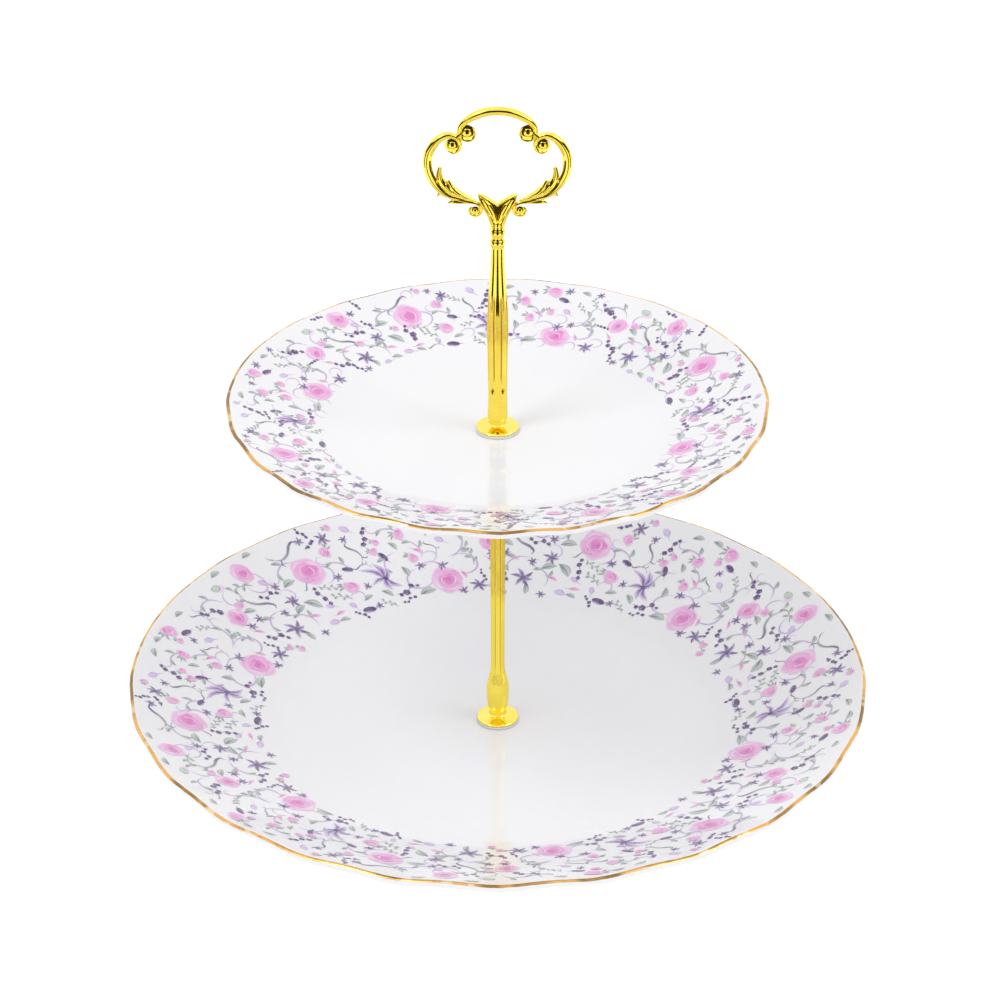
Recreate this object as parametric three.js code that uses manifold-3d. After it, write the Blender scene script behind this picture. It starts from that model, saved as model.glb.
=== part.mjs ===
// Two-tier cake stand: two porcelain plates clamped on a slim cast column, with a pierced scroll handle on top.
// Millimetres, +Z up. The origin is under the middle of the lower plate's foot ring, and the front faces -Y.

import * as THREE from "three";
import { mergeVertices } from "three/addons/utils/BufferGeometryUtils.js";
import Module from "manifold-3d";

const wasm = await Module();
wasm.setup();

// ---- driving dimensions ----

// One screw thread runs through the whole stand.
const THREAD_RADIUS = 1.95;
const THREAD_GRIP = 7; // length of thread in each nut bore
const BORE_CLEARANCE = 0.1; // radial, around a thread
const BORE_SPARE = 2; // depth left past the end of a thread
const STUD_ROOT = 10; // length of the joining stud held in the centre rod
const PLATE_HOLE_CLEARANCE = 1.05; // radial, where the thread passes through porcelain

const LOWER_PLATE = {
  rimRadius: 133,
  wellRadius: 80,
  rimRise: 19.8, // rim over well
  wall: 4,
  lipWall: 2.6,
  footRadius: 77,
  footWidth: 3.6,
  footHeight: 3.5,
};
const UPPER_PLATE = {
  rimRadius: 94.3,
  wellRadius: 56,
  rimRise: 12.8,
  wall: 3.5,
  lipWall: 2.4,
  footRadius: 53.5,
  footWidth: 3.2,
  footHeight: 3,
};
const VERGE_WIDTH = 7; // the curve from the well up to the rim
const VERGE_RISE = 3.2;
const RIM_WAVES = 24;
const RIM_WAVE = 0.5; // how far a lobe of the rim stands out, and how far it droops
const PLATE_SEGMENTS = 96; // four to a wave

const FLANGE_RADIUS = 7.5;
const FLANGE_DISC = 0.9;
const FLANGE_COLLAR_RADIUS = 2.8;
const FLANGE_COLLAR = 2.7; // height over the disc
const GASKET_LIP = 0.5; // how far a gasket shows past its flange
const GASKET_WALL = 0.9;

const WASHER_RADIUS = 9;
const WASHER_WALL = 0.7;
const UNDER_GASKET_WALL = 0.8;
const SCREW_HEAD_RADIUS = 6.5;
const SCREW_HEAD = 1.1;
const SCREW_SLOT = { length: 8, width: 1.2, depth: 0.6 };

const ROD_LENGTH = 107.2;
const ROD_TOP_RADIUS = 3.03;
const ROD_WAIST_RADIUS = 2.52;
const ROD_BULB_RADIUS = 4.12;

const STEM_RADIUS = 3.4;
const STEM_SWELL_RADIUS = 3.8;
const STEM_NECK_RADIUS = 2.3;
const STEM_COLLAR_RADIUS = 2.6;
const STEM_HEIGHT = 73.2; // foot of the handle to the root of its fork
const RING_BAR_RADIUS = 1.42;
const ORNAMENT_DEPTH = 2.4; // front to back, of the leaves
const FORK_DEPTH = 3.4;

const ROUND_SEGMENTS = 32;
const BAR_SIDES = 8;

// ---- stack of heights ----

const lowerWell = LOWER_PLATE.footHeight + LOWER_PLATE.wall;
const baseFlangeZ = lowerWell + GASKET_WALL;
const rodZ = baseFlangeZ + FLANGE_DISC + FLANGE_COLLAR;
const rodTop = rodZ + ROD_LENGTH;
const supportFlangeTop = rodTop + FLANGE_COLLAR + FLANGE_DISC;
const upperUnderside = supportFlangeTop + GASKET_WALL;
const upperPlateZ = upperUnderside - UPPER_PLATE.footHeight;
const upperWell = upperUnderside + UPPER_PLATE.wall;
const topFlangeZ = upperWell + GASKET_WALL;
const handleZ = topFlangeZ + FLANGE_DISC + FLANGE_COLLAR;
const underGasketZ = LOWER_PLATE.footHeight - UNDER_GASKET_WALL;
const washerZ = underGasketZ - WASHER_WALL;
const screwHeadZ = washerZ - SCREW_HEAD;

const boreRadius = THREAD_RADIUS + BORE_CLEARANCE;
const plateHoleRadius = THREAD_RADIUS + PLATE_HOLE_CLEARANCE;
const gasketRadius = FLANGE_RADIUS + GASKET_LIP;

// ---- solids ----

function solidOf(geometry) {
  const bare = geometry.clone();
  bare.deleteAttribute("normal");
  bare.deleteAttribute("uv");
  const merged = mergeVertices(bare, 1e-4);
  const build = (triVerts) => {
    const vertProperties = new Float32Array(merged.attributes.position.array);
    return new wasm.Manifold(new wasm.Mesh({ numProp: 3, vertProperties, triVerts }));
  };
  const triangles = new Uint32Array(merged.index.array);
  const solid = build(triangles);
  return solid.volume() < 0 ? build(triangles.reverse()) : solid;
}

function geometryOf(solid) {
  const mesh = solid.getMesh();
  return new THREE.BufferGeometry()
    .setAttribute("position", new THREE.BufferAttribute(new Float32Array(mesh.vertProperties), 3))
    .setIndex(new THREE.BufferAttribute(new Uint32Array(mesh.triVerts), 1));
}

// A profile of [radius, height] pairs turned about Z.
function turned(profile, segments = ROUND_SEGMENTS) {
  const points = profile.map(([radius, height]) => new THREE.Vector2(radius, height));
  return new THREE.LatheGeometry(points, segments).rotateX(Math.PI / 2);
}

function cylinder(radius, fromZ, toZ) {
  return solidOf(turned([[0, fromZ], [radius, fromZ], [radius, toZ], [0, toZ]]));
}

// A flat ring from z = 0 up.
function ring(outer, inner, height) {
  return solidOf(turned([[inner, 0], [outer, 0], [outer, height], [inner, height], [inner, 0]]));
}

function all(solids) {
  return solids.reduce((sum, next) => sum.add(next));
}

// ---- plates ----

// The plate's section, once round: the top from hole to lip, then the underside and the foot ring back to the hole.
function plateProfile(plate) {
  const well = plate.footHeight + plate.wall;
  const vergeRadius = plate.wellRadius + VERGE_WIDTH;
  const rimZ = well + plate.rimRise;
  const footOuter = plate.footRadius + plate.footWidth / 2;
  const footInner = plate.footRadius - plate.footWidth / 2;
  return [
    [plateHoleRadius, well],
    [plate.wellRadius - 2, well],
    [plate.wellRadius + VERGE_WIDTH * 0.25, well + VERGE_RISE * 0.22],
    [vergeRadius, well + VERGE_RISE],
    [(vergeRadius + plate.rimRadius) / 2, well + VERGE_RISE + (plate.rimRise - VERGE_RISE) * 0.47],
    [plate.rimRadius - plate.lipWall * 0.35, rimZ],
    [plate.rimRadius, rimZ - plate.lipWall * 0.45],
    [plate.rimRadius - plate.lipWall * 0.4, rimZ - plate.lipWall],
    [(vergeRadius + plate.rimRadius) / 2 + 1, well + VERGE_RISE + (plate.rimRise - VERGE_RISE) * 0.47 - plate.lipWall],
    [vergeRadius + 1.5, well + VERGE_RISE - plate.wall],
    [footOuter, plate.footHeight * 0.6],
    [footOuter - plate.footWidth * 0.1, 0],
    [footInner, 0],
    [footInner - plate.footWidth * 0.2, plate.footHeight],
    [plateHoleRadius, plate.footHeight],
    [plateHoleRadius, well],
  ];
}

// Lifts and spreads the rim in a gentle wave that fades out towards the well.
function waveRim(geometry, plate) {
  const position = geometry.attributes.position;
  const vergeRadius = plate.wellRadius + VERGE_WIDTH;
  for (let i = 0; i < position.count; i += 1) {
    const x = position.getX(i);
    const y = position.getY(i);
    const radius = Math.hypot(x, y);
    if (radius <= vergeRadius) continue;
    const share = ((radius - vergeRadius) / (plate.rimRadius - vergeRadius)) ** 2;
    const wave = RIM_WAVE * share * Math.cos(RIM_WAVES * Math.atan2(y, x));
    position.setXYZ(i, (x * (radius + wave)) / radius, (y * (radius + wave)) / radius, position.getZ(i) - wave);
  }
  return geometry;
}

function plateSolid(plate) {
  return solidOf(waveRim(turned(plateProfile(plate), PLATE_SEGMENTS), plate));
}

// ---- column hardware ----

// Disc below, collar above, bored through.
function flangeSolid() {
  const collarTop = FLANGE_DISC + FLANGE_COLLAR;
  return solidOf(
    turned([
      [boreRadius, 0],
      [FLANGE_RADIUS, 0],
      [FLANGE_RADIUS, FLANGE_DISC * 0.6],
      [FLANGE_RADIUS - 0.3, FLANGE_DISC],
      [FLANGE_COLLAR_RADIUS + 0.9, FLANGE_DISC],
      [FLANGE_COLLAR_RADIUS, FLANGE_DISC + 0.9],
      [FLANGE_COLLAR_RADIUS, collarTop],
      [boreRadius, collarTop],
      [boreRadius, 0],
    ]),
  );
}

function rodSolid() {
  const outline = [
    [0, 0],
    [STEM_RADIUS - 0.3, 0],
    [STEM_RADIUS, 1],
    [ROD_BULB_RADIUS * 0.95, 4],
    [ROD_BULB_RADIUS, 7.7],
    [ROD_BULB_RADIUS * 0.97, 10],
    [ROD_BULB_RADIUS * 0.89, 12.2],
    [ROD_WAIST_RADIUS + 0.6, 14.4],
    [ROD_WAIST_RADIUS + 0.12, 17],
    [ROD_WAIST_RADIUS, 24],
    [ROD_TOP_RADIUS, ROD_LENGTH],
    [0, ROD_LENGTH],
  ];
  return solidOf(turned(outline))
    .subtract(cylinder(boreRadius, -1, THREAD_GRIP + BORE_SPARE))
    .subtract(cylinder(boreRadius, ROD_LENGTH - STUD_ROOT, ROD_LENGTH + 1));
}

function baseScrewSolid() {
  const tip = rodZ + THREAD_GRIP - screwHeadZ;
  const slot = new THREE.BoxGeometry(SCREW_SLOT.length, SCREW_SLOT.width, 2 * SCREW_SLOT.depth);
  return solidOf(
    turned([
      [0, 0],
      [SCREW_HEAD_RADIUS - 0.4, 0],
      [SCREW_HEAD_RADIUS, 0.4],
      [SCREW_HEAD_RADIUS, SCREW_HEAD],
      [THREAD_RADIUS, SCREW_HEAD],
      [THREAD_RADIUS, tip - 0.5],
      [THREAD_RADIUS - 0.5, tip],
      [0, tip],
    ]),
  ).subtract(solidOf(slot));
}

// From its root in the rod to the end of its grip in the handle.
const studLength = STUD_ROOT + handleZ - rodTop + THREAD_GRIP;

function studSolid() {
  return solidOf(
    turned([
      [0, 0],
      [THREAD_RADIUS - 0.5, 0],
      [THREAD_RADIUS, 0.5],
      [THREAD_RADIUS, studLength - 0.5],
      [THREAD_RADIUS - 0.5, studLength],
      [0, studLength],
    ]),
  );
}

// ---- handle ----

// Places in the handle's ornament are [x, z], with z counted from the root of the fork. They draw the left half,
// and what crosses the middle runs a little past it, into its mirror image.
const TOP_SCROLL = [[0.4, 42.7], [-5.2, 41.9], [-8.6, 40.4], [-11.3, 38.6], [-12.7, 36.2], [-12.4, 33.8],
  [-10.8, 32.3], [-8.9, 32.6]];
const TOP_EYE = { place: [-10.3, 35], radius: 2.5 };
const SIDE_SCROLL = [[-13.6, 30], [-12.9, 31.6], [-13.6, 33.1], [-16.1, 33.6], [-19, 32.6], [-21.7, 29.9],
  [-23.4, 26.5], [-23.6, 22.8], [-22.6, 19.2], [-20.5, 16], [-17.5, 13.2], [-14, 11.2], [-10.6, 10.2],
  [-8.1, 9.5], [-6.1, 8.4], [-5.3, 6.8], [-6, 5.2], [-7.7, 4.6]];
const SIDE_EYE = { place: [-15.2, 30.1], radius: 2.1 };
const CURL_EYE = { place: [-7.7, 6.3], radius: 1.8 };
const LEAVES = [
  [[-22.6, 19.5], [-21, 21.2], [-19.6, 22.7], [-19.3, 20], [-18.4, 17], [-20.4, 16.4]],
  [[-18.6, 15], [-17.8, 16.4], [-16.9, 17.6], [-16.2, 15.6], [-14.2, 13.2], [-12, 11.4], [-15.5, 12]],
  [[-19.8, 14], [-19.4, 12.9], [-20, 11.7], [-18.2, 11.4], [-15.4, 12]],
  [[-14.8, 11.6], [-15.9, 10.2], [-16.7, 9.1], [-14.6, 8.9], [-11.8, 9.2], [-10, 10]],
];
const FORK = [[0.3, 8.9], [-1.5, 9.9], [-3.6, 11.4], [-6.4, 12.4], [-5.7, 10.3], [-5, 8.3], [-4.3, 6.4],
  [-3.2, 4.4], [-2.4, 2], [-2.1, -0.8], [0.3, -0.8]];
const BAR_STEPS = 36;

function inFrontPlane([x, z]) {
  return new THREE.Vector3(x, 0, z);
}

// A round bar along a smooth path through the places, thinning towards the scrolled ends.
function bar(places, thicknessAt) {
  const path = new THREE.CatmullRomCurve3(places.map(inFrontPlane), false, "centripetal");
  const section = new THREE.Shape();
  section.absarc(0, 0, RING_BAR_RADIUS, 0, 2 * Math.PI);
  const options = { steps: BAR_STEPS, extrudePath: path, curveSegments: BAR_SIDES / 2, bevelEnabled: false };
  const geometry = new THREE.ExtrudeGeometry(section, options);
  const stations = path.getSpacedPoints(BAR_STEPS);
  const position = geometry.attributes.position;
  const vertex = new THREE.Vector3();
  for (let i = 0; i < position.count; i += 1) {
    vertex.fromBufferAttribute(position, i);
    let nearest = 0;
    stations.forEach((place, k) => {
      if (place.distanceTo(vertex) < stations[nearest].distanceTo(vertex)) nearest = k;
    });
    const centre = stations[nearest];
    vertex.sub(centre).multiplyScalar(thicknessAt(nearest / BAR_STEPS)).add(centre);
    position.setXYZ(i, vertex.x, vertex.y, vertex.z);
  }
  return solidOf(geometry);
}

// A flat ornament with that outline, in the middle of the handle's thickness.
function ornament(places, depth) {
  const outline = new THREE.Shape(places.map(([x, z]) => new THREE.Vector2(x, z)));
  const geometry = new THREE.ExtrudeGeometry(outline, { depth, bevelEnabled: false });
  return solidOf(geometry.rotateX(Math.PI / 2).translate(0, depth / 2, 0));
}

function eye({ place: [x, z], radius }) {
  return solidOf(new THREE.SphereGeometry(radius, 12, 8).translate(x, 0, z));
}

// The left half of the ring; the right half is its mirror image.
function ringHalf() {
  const thinAtEnd = (t) => 1 - 0.5 * Math.max(0, (t - 0.55) / 0.45);
  const thinAtEnds = (t) => 0.62 + 0.38 * Math.min(1, t / 0.25, Math.max(0, (1 - t) / 0.45));
  return all([
    bar(TOP_SCROLL, thinAtEnd),
    bar(SIDE_SCROLL, thinAtEnds),
    ...[TOP_EYE, SIDE_EYE, CURL_EYE].map(eye),
    ...LEAVES.map((places) => ornament(places, ORNAMENT_DEPTH)),
    ornament(FORK, FORK_DEPTH),
  ]);
}

function stemSolid() {
  const top = STEM_HEIGHT;
  return solidOf(
    turned([
      [0, 0],
      [STEM_RADIUS - 0.3, 0],
      [STEM_RADIUS, 0.3],
      [STEM_RADIUS, 14],
      [(STEM_RADIUS + STEM_SWELL_RADIUS) / 2, 26],
      [STEM_SWELL_RADIUS, 35],
      [STEM_SWELL_RADIUS - 0.08, 39],
      [STEM_SWELL_RADIUS - 0.35, 44],
      [STEM_NECK_RADIUS + 0.9, 50],
      [STEM_NECK_RADIUS + 0.3, 57],
      [STEM_NECK_RADIUS, top - 8],
      [STEM_NECK_RADIUS, top - 6.6],
      [STEM_COLLAR_RADIUS, top - 5.5],
      [STEM_NECK_RADIUS - 0.2, top - 4.2],
      [STEM_NECK_RADIUS - 0.2, top - 2.8],
      [STEM_COLLAR_RADIUS, top - 1.6],
      [STEM_NECK_RADIUS - 0.1, top - 0.4],
      [STEM_NECK_RADIUS - 0.4, top + 2.5],
      [0, top + 3],
    ]),
  );
}

function handleSolid() {
  const half = ringHalf().translate([0, 0, STEM_HEIGHT]);
  return all([half, half.mirror([1, 0, 0]), stemSolid()]).subtract(
    cylinder(boreRadius, -1, THREAD_GRIP + BORE_SPARE),
  );
}

// ---- finishes ----

const porcelain = { color: "#f4f4f7", roughness: 0.12, metalness: 0 };
const gold = { color: "#e8c03a", roughness: 0.12, metalness: 1 };
const clearRubber = { color: "#e9ebe8", roughness: 0.5, metalness: 0 };
const steel = { color: "#c9c9c6", roughness: 0.35, metalness: 1 };

// ---- assembly ----

function place(group, name, solid, finish, z) {
  const mesh = new THREE.Mesh(geometryOf(solid), new THREE.MeshStandardMaterial(finish));
  mesh.name = name;
  mesh.position.z = z;
  group.add(mesh);
  return mesh;
}

function lowerTier() {
  const tier = new THREE.Group();
  place(tier, "lower_plate", plateSolid(LOWER_PLATE), porcelain, 0);
  place(tier, "under_gasket", ring(WASHER_RADIUS, plateHoleRadius, UNDER_GASKET_WALL), clearRubber, underGasketZ);
  place(tier, "base_washer", ring(WASHER_RADIUS, boreRadius, WASHER_WALL), steel, washerZ);
  place(tier, "base_screw", baseScrewSolid(), steel, screwHeadZ);
  place(tier, "base_gasket", ring(gasketRadius, plateHoleRadius, GASKET_WALL), clearRubber, lowerWell);
  place(tier, "base_flange", flangeSolid(), gold, baseFlangeZ);
  return tier;
}

function column() {
  const stack = new THREE.Group();
  place(stack, "centre_rod", rodSolid(), gold, rodZ);
  place(stack, "joining_stud", studSolid(), steel, rodTop - STUD_ROOT);
  const upsideDown = flangeSolid().mirror([0, 0, 1]);
  place(stack, "support_flange", upsideDown, gold, supportFlangeTop);
  const gasket = ring(gasketRadius, plateHoleRadius, GASKET_WALL);
  place(stack, "support_gasket", gasket, clearRubber, supportFlangeTop);
  return stack;
}

function upperTier() {
  const tier = new THREE.Group();
  place(tier, "upper_plate", plateSolid(UPPER_PLATE), porcelain, upperPlateZ);
  place(tier, "top_gasket", ring(gasketRadius, plateHoleRadius, GASKET_WALL), clearRubber, upperWell);
  place(tier, "top_flange", flangeSolid(), gold, topFlangeZ);
  place(tier, "handle", handleSolid(), gold, handleZ);
  return tier;
}

const cakeStand = new THREE.Group();
cakeStand.add(lowerTier(), column(), upperTier());

export default cakeStand;
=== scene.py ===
"""Looks of a two-tier cake stand: porcelain plates with a gilt lip and a flower print, on a gilt cast column.

Sizes are in millimetres, and turn into metres where a mesh is made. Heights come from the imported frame.
"""

import logging
import math
import random
from collections.abc import Callable, Sequence
from dataclasses import dataclass, field
from enum import Enum

import bmesh
import bpy
import numpy as np
from mathutils import Matrix, Vector


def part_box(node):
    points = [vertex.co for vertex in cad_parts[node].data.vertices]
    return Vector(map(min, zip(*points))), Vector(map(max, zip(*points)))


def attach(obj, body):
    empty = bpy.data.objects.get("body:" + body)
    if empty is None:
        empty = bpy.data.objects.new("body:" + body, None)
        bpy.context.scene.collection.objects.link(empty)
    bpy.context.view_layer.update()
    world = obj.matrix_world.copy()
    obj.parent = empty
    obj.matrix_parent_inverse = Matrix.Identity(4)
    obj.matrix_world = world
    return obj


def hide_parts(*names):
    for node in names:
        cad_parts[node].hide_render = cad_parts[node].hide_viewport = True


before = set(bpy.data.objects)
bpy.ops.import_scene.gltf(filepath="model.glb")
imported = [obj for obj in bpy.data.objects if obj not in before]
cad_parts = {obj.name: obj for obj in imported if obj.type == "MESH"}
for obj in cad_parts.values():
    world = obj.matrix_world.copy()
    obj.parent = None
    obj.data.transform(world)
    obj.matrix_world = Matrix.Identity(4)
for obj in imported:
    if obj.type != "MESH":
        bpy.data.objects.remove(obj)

log = logging.getLogger("cake_stand")
logging.basicConfig(level=logging.INFO, format="%(message)s")

MM = 0.001
TAU = 2 * math.pi
RIM_WAVES = 24
FIRED = 0.89  # how much of the light the whitest glaze gives back, against paper
BORE_RADIUS = 2.05  # of every hole that a thread goes through
SPAN_SAMPLES = 24  # places worked out between two given points of a smooth path
TINY = 1e-6
WELD = 0.0005  # vertices of a turned piece closer than this are one
FAR_FROM_LIP = 99.0  # stands for a place that the gold line never reaches
SLOW_SAG, QUICK_SAG = 0.22, 0.16  # how far firing bends a rim, in two and in five waves round it

Point2 = tuple[float, float]
Colour = tuple[float, float, float]


# ---- small tools ----


def linear(rgb: tuple[int, int, int]) -> Colour:
    """Turns a 0-255 screen colour into a linear one.

    Args:
        rgb: Red, green and blue, 0 to 255.

    Returns:
        The linear colour.
    """
    def channel(value: float) -> float:
        """One channel of the sRGB curve."""
        return value / 12.92 if value <= 0.04045 else ((value + 0.055) / 1.055) ** 2.4

    red, green, blue = (channel(v / 255) for v in rgb)
    return red, green, blue


def mixed(a: Colour, b: Colour, share: float) -> Colour:
    """The colour a share of the way from a to b."""
    return tuple(p + (q - p) * share for p, q in zip(a, b))


def smooth_path(places: Sequence[Sequence[float]], steps: int) -> np.ndarray:
    """Samples a smooth curve through places, evenly along its length.

    Args:
        places: The points that the curve passes through.
        steps: How many spans the result has.

    Returns:
        An array of steps + 1 points.
    """
    given = np.array(places, float)
    spans = np.sqrt(np.linalg.norm(np.diff(given, axis=0), axis=1)) + 1e-9
    knots = np.concatenate([[0], np.cumsum(spans)])
    slopes = np.gradient(given, knots, axis=0)
    fine: list[np.ndarray] = []
    for i, span in enumerate(spans):
        t = np.linspace(0, 1, SPAN_SAMPLES, endpoint=False)[:, None]
        a = (1 + 2 * t) * (1 - t) ** 2 * given[i] + t * (1 - t) ** 2 * span * slopes[i]
        b = t ** 2 * (3 - 2 * t) * given[i + 1] + t ** 2 * (t - 1) * span * slopes[i + 1]
        fine.append(a + b)
    dense = np.concatenate([*fine, given[-1:]])
    length = np.concatenate([[0], np.cumsum(np.linalg.norm(np.diff(dense, axis=0), axis=1))])
    at = np.linspace(0, length[-1], steps + 1)
    return np.stack([np.interp(at, length, dense[:, k]) for k in range(dense.shape[1])], axis=1)


def eased(t: float) -> float:
    """A smooth step from 0 at t = 0 to 1 at t = 1."""
    t = min(max(t, 0.0), 1.0)
    return t * t * (3 - 2 * t)


@dataclass
class MeshDraft:
    """Vertices, faces and values for each vertex, gathered before they become a mesh."""

    places: list[Sequence[float]] = field(default_factory=list)
    faces: list[tuple[int, ...]] = field(default_factory=list)
    values: dict[str, list[float]] = field(default_factory=dict)
    inks: list[Colour] = field(default_factory=list)

    def add(self, place: Sequence[float]) -> int:
        """Adds one vertex in millimetres and returns its number."""
        self.places.append(place)
        return len(self.places) - 1

    def grid(self, rows: Sequence[Sequence[Sequence[float]]], loop_rows: bool, loop_columns: bool) -> None:
        """Adds a net of quads.

        Args:
            rows: Equal rows of points in millimetres.
            loop_rows: Whether the last row joins the first.
            loop_columns: Whether each row's last point joins its first.
        """
        numbers = [[self.add(p) for p in row] for row in rows]
        wide = len(numbers[0])
        for i in range(len(numbers) if loop_rows else len(numbers) - 1):
            here, there = numbers[i], numbers[(i + 1) % len(numbers)]
            for j in range(wide if loop_columns else wide - 1):
                k = (j + 1) % wide
                self.faces.append((here[j], here[k], there[k], there[j]))

    def closed(self, name: str, rows: Sequence[Sequence[Sequence[float]]]) -> bpy.types.Object:
        """Makes a closed solid of looped rows and two flat ends.

        Args:
            name: The object's name.
            rows: Equal rows of points in millimetres.

        Returns:
            The object.
        """
        self.grid(rows, loop_rows=False, loop_columns=True)
        wide, count = len(rows[0]), len(self.places)
        self.faces += [tuple(range(wide)), tuple(reversed(range(count - wide, count)))]
        piece = self.object(name)
        turn_outward(piece)
        return piece

    def mesh(self, name: str) -> bpy.types.Mesh:
        """Makes the Blender mesh, in metres and smooth shaded, with outward faces.

        Args:
            name: The mesh's name.

        Returns:
            The new mesh.
        """
        made = bpy.data.meshes.new(name)
        made.from_pydata([[c * MM for c in p] for p in self.places], [], self.faces)
        for key, numbers in self.values.items():
            made.attributes.new(key, "FLOAT", "POINT").data.foreach_set("value", numbers)
        if self.inks:
            flat = [c for ink in self.inks for c in (*ink, 1.0)]
            made.attributes.new("ink", "FLOAT_COLOR", "POINT").data.foreach_set("color", flat)
        made.polygons.foreach_set("use_smooth", [True] * len(made.polygons))
        made.update()
        return made

    def object(self, name: str) -> bpy.types.Object:
        """Makes a scene object of the mesh.

        Args:
            name: Its name.

        Returns:
            The object.
        """
        made = bpy.data.objects.new(name, self.mesh(name))
        bpy.context.scene.collection.objects.link(made)
        return made


def turn_outward(piece: bpy.types.Object, weld: float = 0.0) -> None:
    """Makes a closed piece's faces point outwards.

    Args:
        piece: The object to mend.
        weld: Vertices closer than this, in millimetres, become one.
    """
    work = bmesh.new()
    work.from_mesh(piece.data)
    if weld:
        bmesh.ops.remove_doubles(work, verts=work.verts, dist=weld * MM)
    bmesh.ops.recalc_face_normals(work, faces=work.faces)
    work.to_mesh(piece.data)
    work.free()
    piece.data.update()


def plain_copy(piece: bpy.types.Object, name: str) -> bpy.types.Object:
    """Replaces an object that has modifiers by a plain mesh of what they make.

    Args:
        piece: The object with live modifiers. It is removed.
        name: The new object's name.

    Returns:
        The plain object.
    """
    graph = bpy.context.evaluated_depsgraph_get()
    made = bpy.data.meshes.new_from_object(piece.evaluated_get(graph))
    made.name = name
    bpy.data.objects.remove(piece)
    plain = bpy.data.objects.new(name, made)
    bpy.context.scene.collection.objects.link(plain)
    return plain


def joined(pieces: Sequence[bpy.types.Object], name: str) -> bpy.types.Object:
    """Joins several objects at the origin into the first one.

    Args:
        pieces: The objects to join.
        name: The result's name.

    Returns:
        The joined object.
    """
    with bpy.context.temp_override(active_object=pieces[0], selected_editable_objects=list(pieces)):
        bpy.ops.object.join()
    pieces[0].name = name
    return pieces[0]


# ---- shader graphs ----


class Graph:
    """A thin hand on a node tree, for materials and for node groups."""

    def __init__(self, tree: bpy.types.NodeTree) -> None:
        """Works on tree, emptied."""
        self.tree = tree
        tree.nodes.clear()

    def node(self, kind: str, **inputs: object) -> bpy.types.Node:
        """Adds a node and fills its inputs, by links or by values.

        Args:
            kind: The node's type name.
            **inputs: Input name (with _ for a blank) to a socket or a value.

        Returns:
            The new node.
        """
        made = self.tree.nodes.new(kind)
        for key, value in inputs.items():
            self.feed(made.inputs[key.replace("_", " ")], value)
        return made

    def feed(self, socket: bpy.types.NodeSocket, value: object) -> None:
        """Links a socket into an input, or sets the input's own value.

        Args:
            socket: The input.
            value: What it gets.
        """
        if isinstance(value, bpy.types.NodeSocket):
            self.tree.links.new(value, socket)
        else:
            socket.default_value = value

    def math(self, operation: str, *values: object) -> bpy.types.NodeSocket:
        """A Math node's result.

        Args:
            operation: What it works out.
            *values: Its inputs, sockets or numbers.

        Returns:
            The result.
        """
        made = self.tree.nodes.new("ShaderNodeMath")
        made.operation = operation
        for socket, value in zip(made.inputs, values):
            self.feed(socket, value)
        return made.outputs[0]

    def noise(self, where: bpy.types.NodeSocket, scale: object, detail: float = 2.0) -> bpy.types.NodeSocket:
        """A Noise Texture's value."""
        made = self.node("ShaderNodeTexNoise", Vector=where, Scale=scale, Detail=detail)
        return made.outputs["Fac"]

    def ramp(self, value: bpy.types.NodeSocket, low: float, high: float,
             to_low: float = 0.0, to_high: float = 1.0) -> bpy.types.NodeSocket:
        """A smooth Map Range of value.

        Args:
            value: What is mapped.
            low: Value that gives to_low.
            high: Value that gives to_high.
            to_low: Lowest result.
            to_high: Highest result.

        Returns:
            The mapped value.
        """
        made = self.tree.nodes.new("ShaderNodeMapRange")
        made.interpolation_type = "SMOOTHSTEP"
        for socket, given in zip(made.inputs, (value, low, high, to_low, to_high)):
            self.feed(socket, given)
        return made.outputs["Result"]

    def mix(self, share: object, a: object, b: object) -> bpy.types.NodeSocket:
        """A colour Mix of a and b.

        Args:
            share: How much of b.
            a: One colour, or a socket.
            b: The other.

        Returns:
            The mixed colour.
        """
        made = self.tree.nodes.new("ShaderNodeMix")
        made.data_type = "RGBA"
        self.feed(made.inputs["Factor"], share)
        for socket, given in zip(made.inputs[6:8], (a, b)):  # the node's colour inputs
            self.feed(socket, (*given, 1.0) if isinstance(given, tuple) and len(given) == 3 else given)
        return made.outputs[2]

    def end(self, result: bpy.types.NodeSocket, kind: str = "ShaderNodeOutputMaterial") -> None:
        """Links the tree's result into its output node."""
        self.feed(self.tree.nodes.new(kind).inputs["Surface"], result)

    def place(self) -> bpy.types.NodeSocket:
        """Object coordinates, in metres."""
        return self.tree.nodes.new("ShaderNodeTexCoord").outputs["Object"]

    def attribute(self, name: str) -> bpy.types.Node:
        """Reads a mesh attribute.

        Args:
            name: Its name.

        Returns:
            The node.
        """
        made = self.tree.nodes.new("ShaderNodeAttribute")
        made.attribute_name = name
        return made

    def bump(self, height: bpy.types.NodeSocket, distance: float, strength: float) -> bpy.types.NodeSocket:
        """A Bump node's normal from a height."""
        made = self.node("ShaderNodeBump", Height=height, Distance=distance, Strength=strength)
        return made.outputs["Normal"]


def new_material(name: str) -> tuple[bpy.types.Material, Graph]:
    """Starts a material.

    Args:
        name: Its name.

    Returns:
        The material and a graph on its emptied tree.
    """
    material = bpy.data.materials.new(name)
    material.use_nodes = True
    return material, Graph(material.node_tree)


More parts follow.
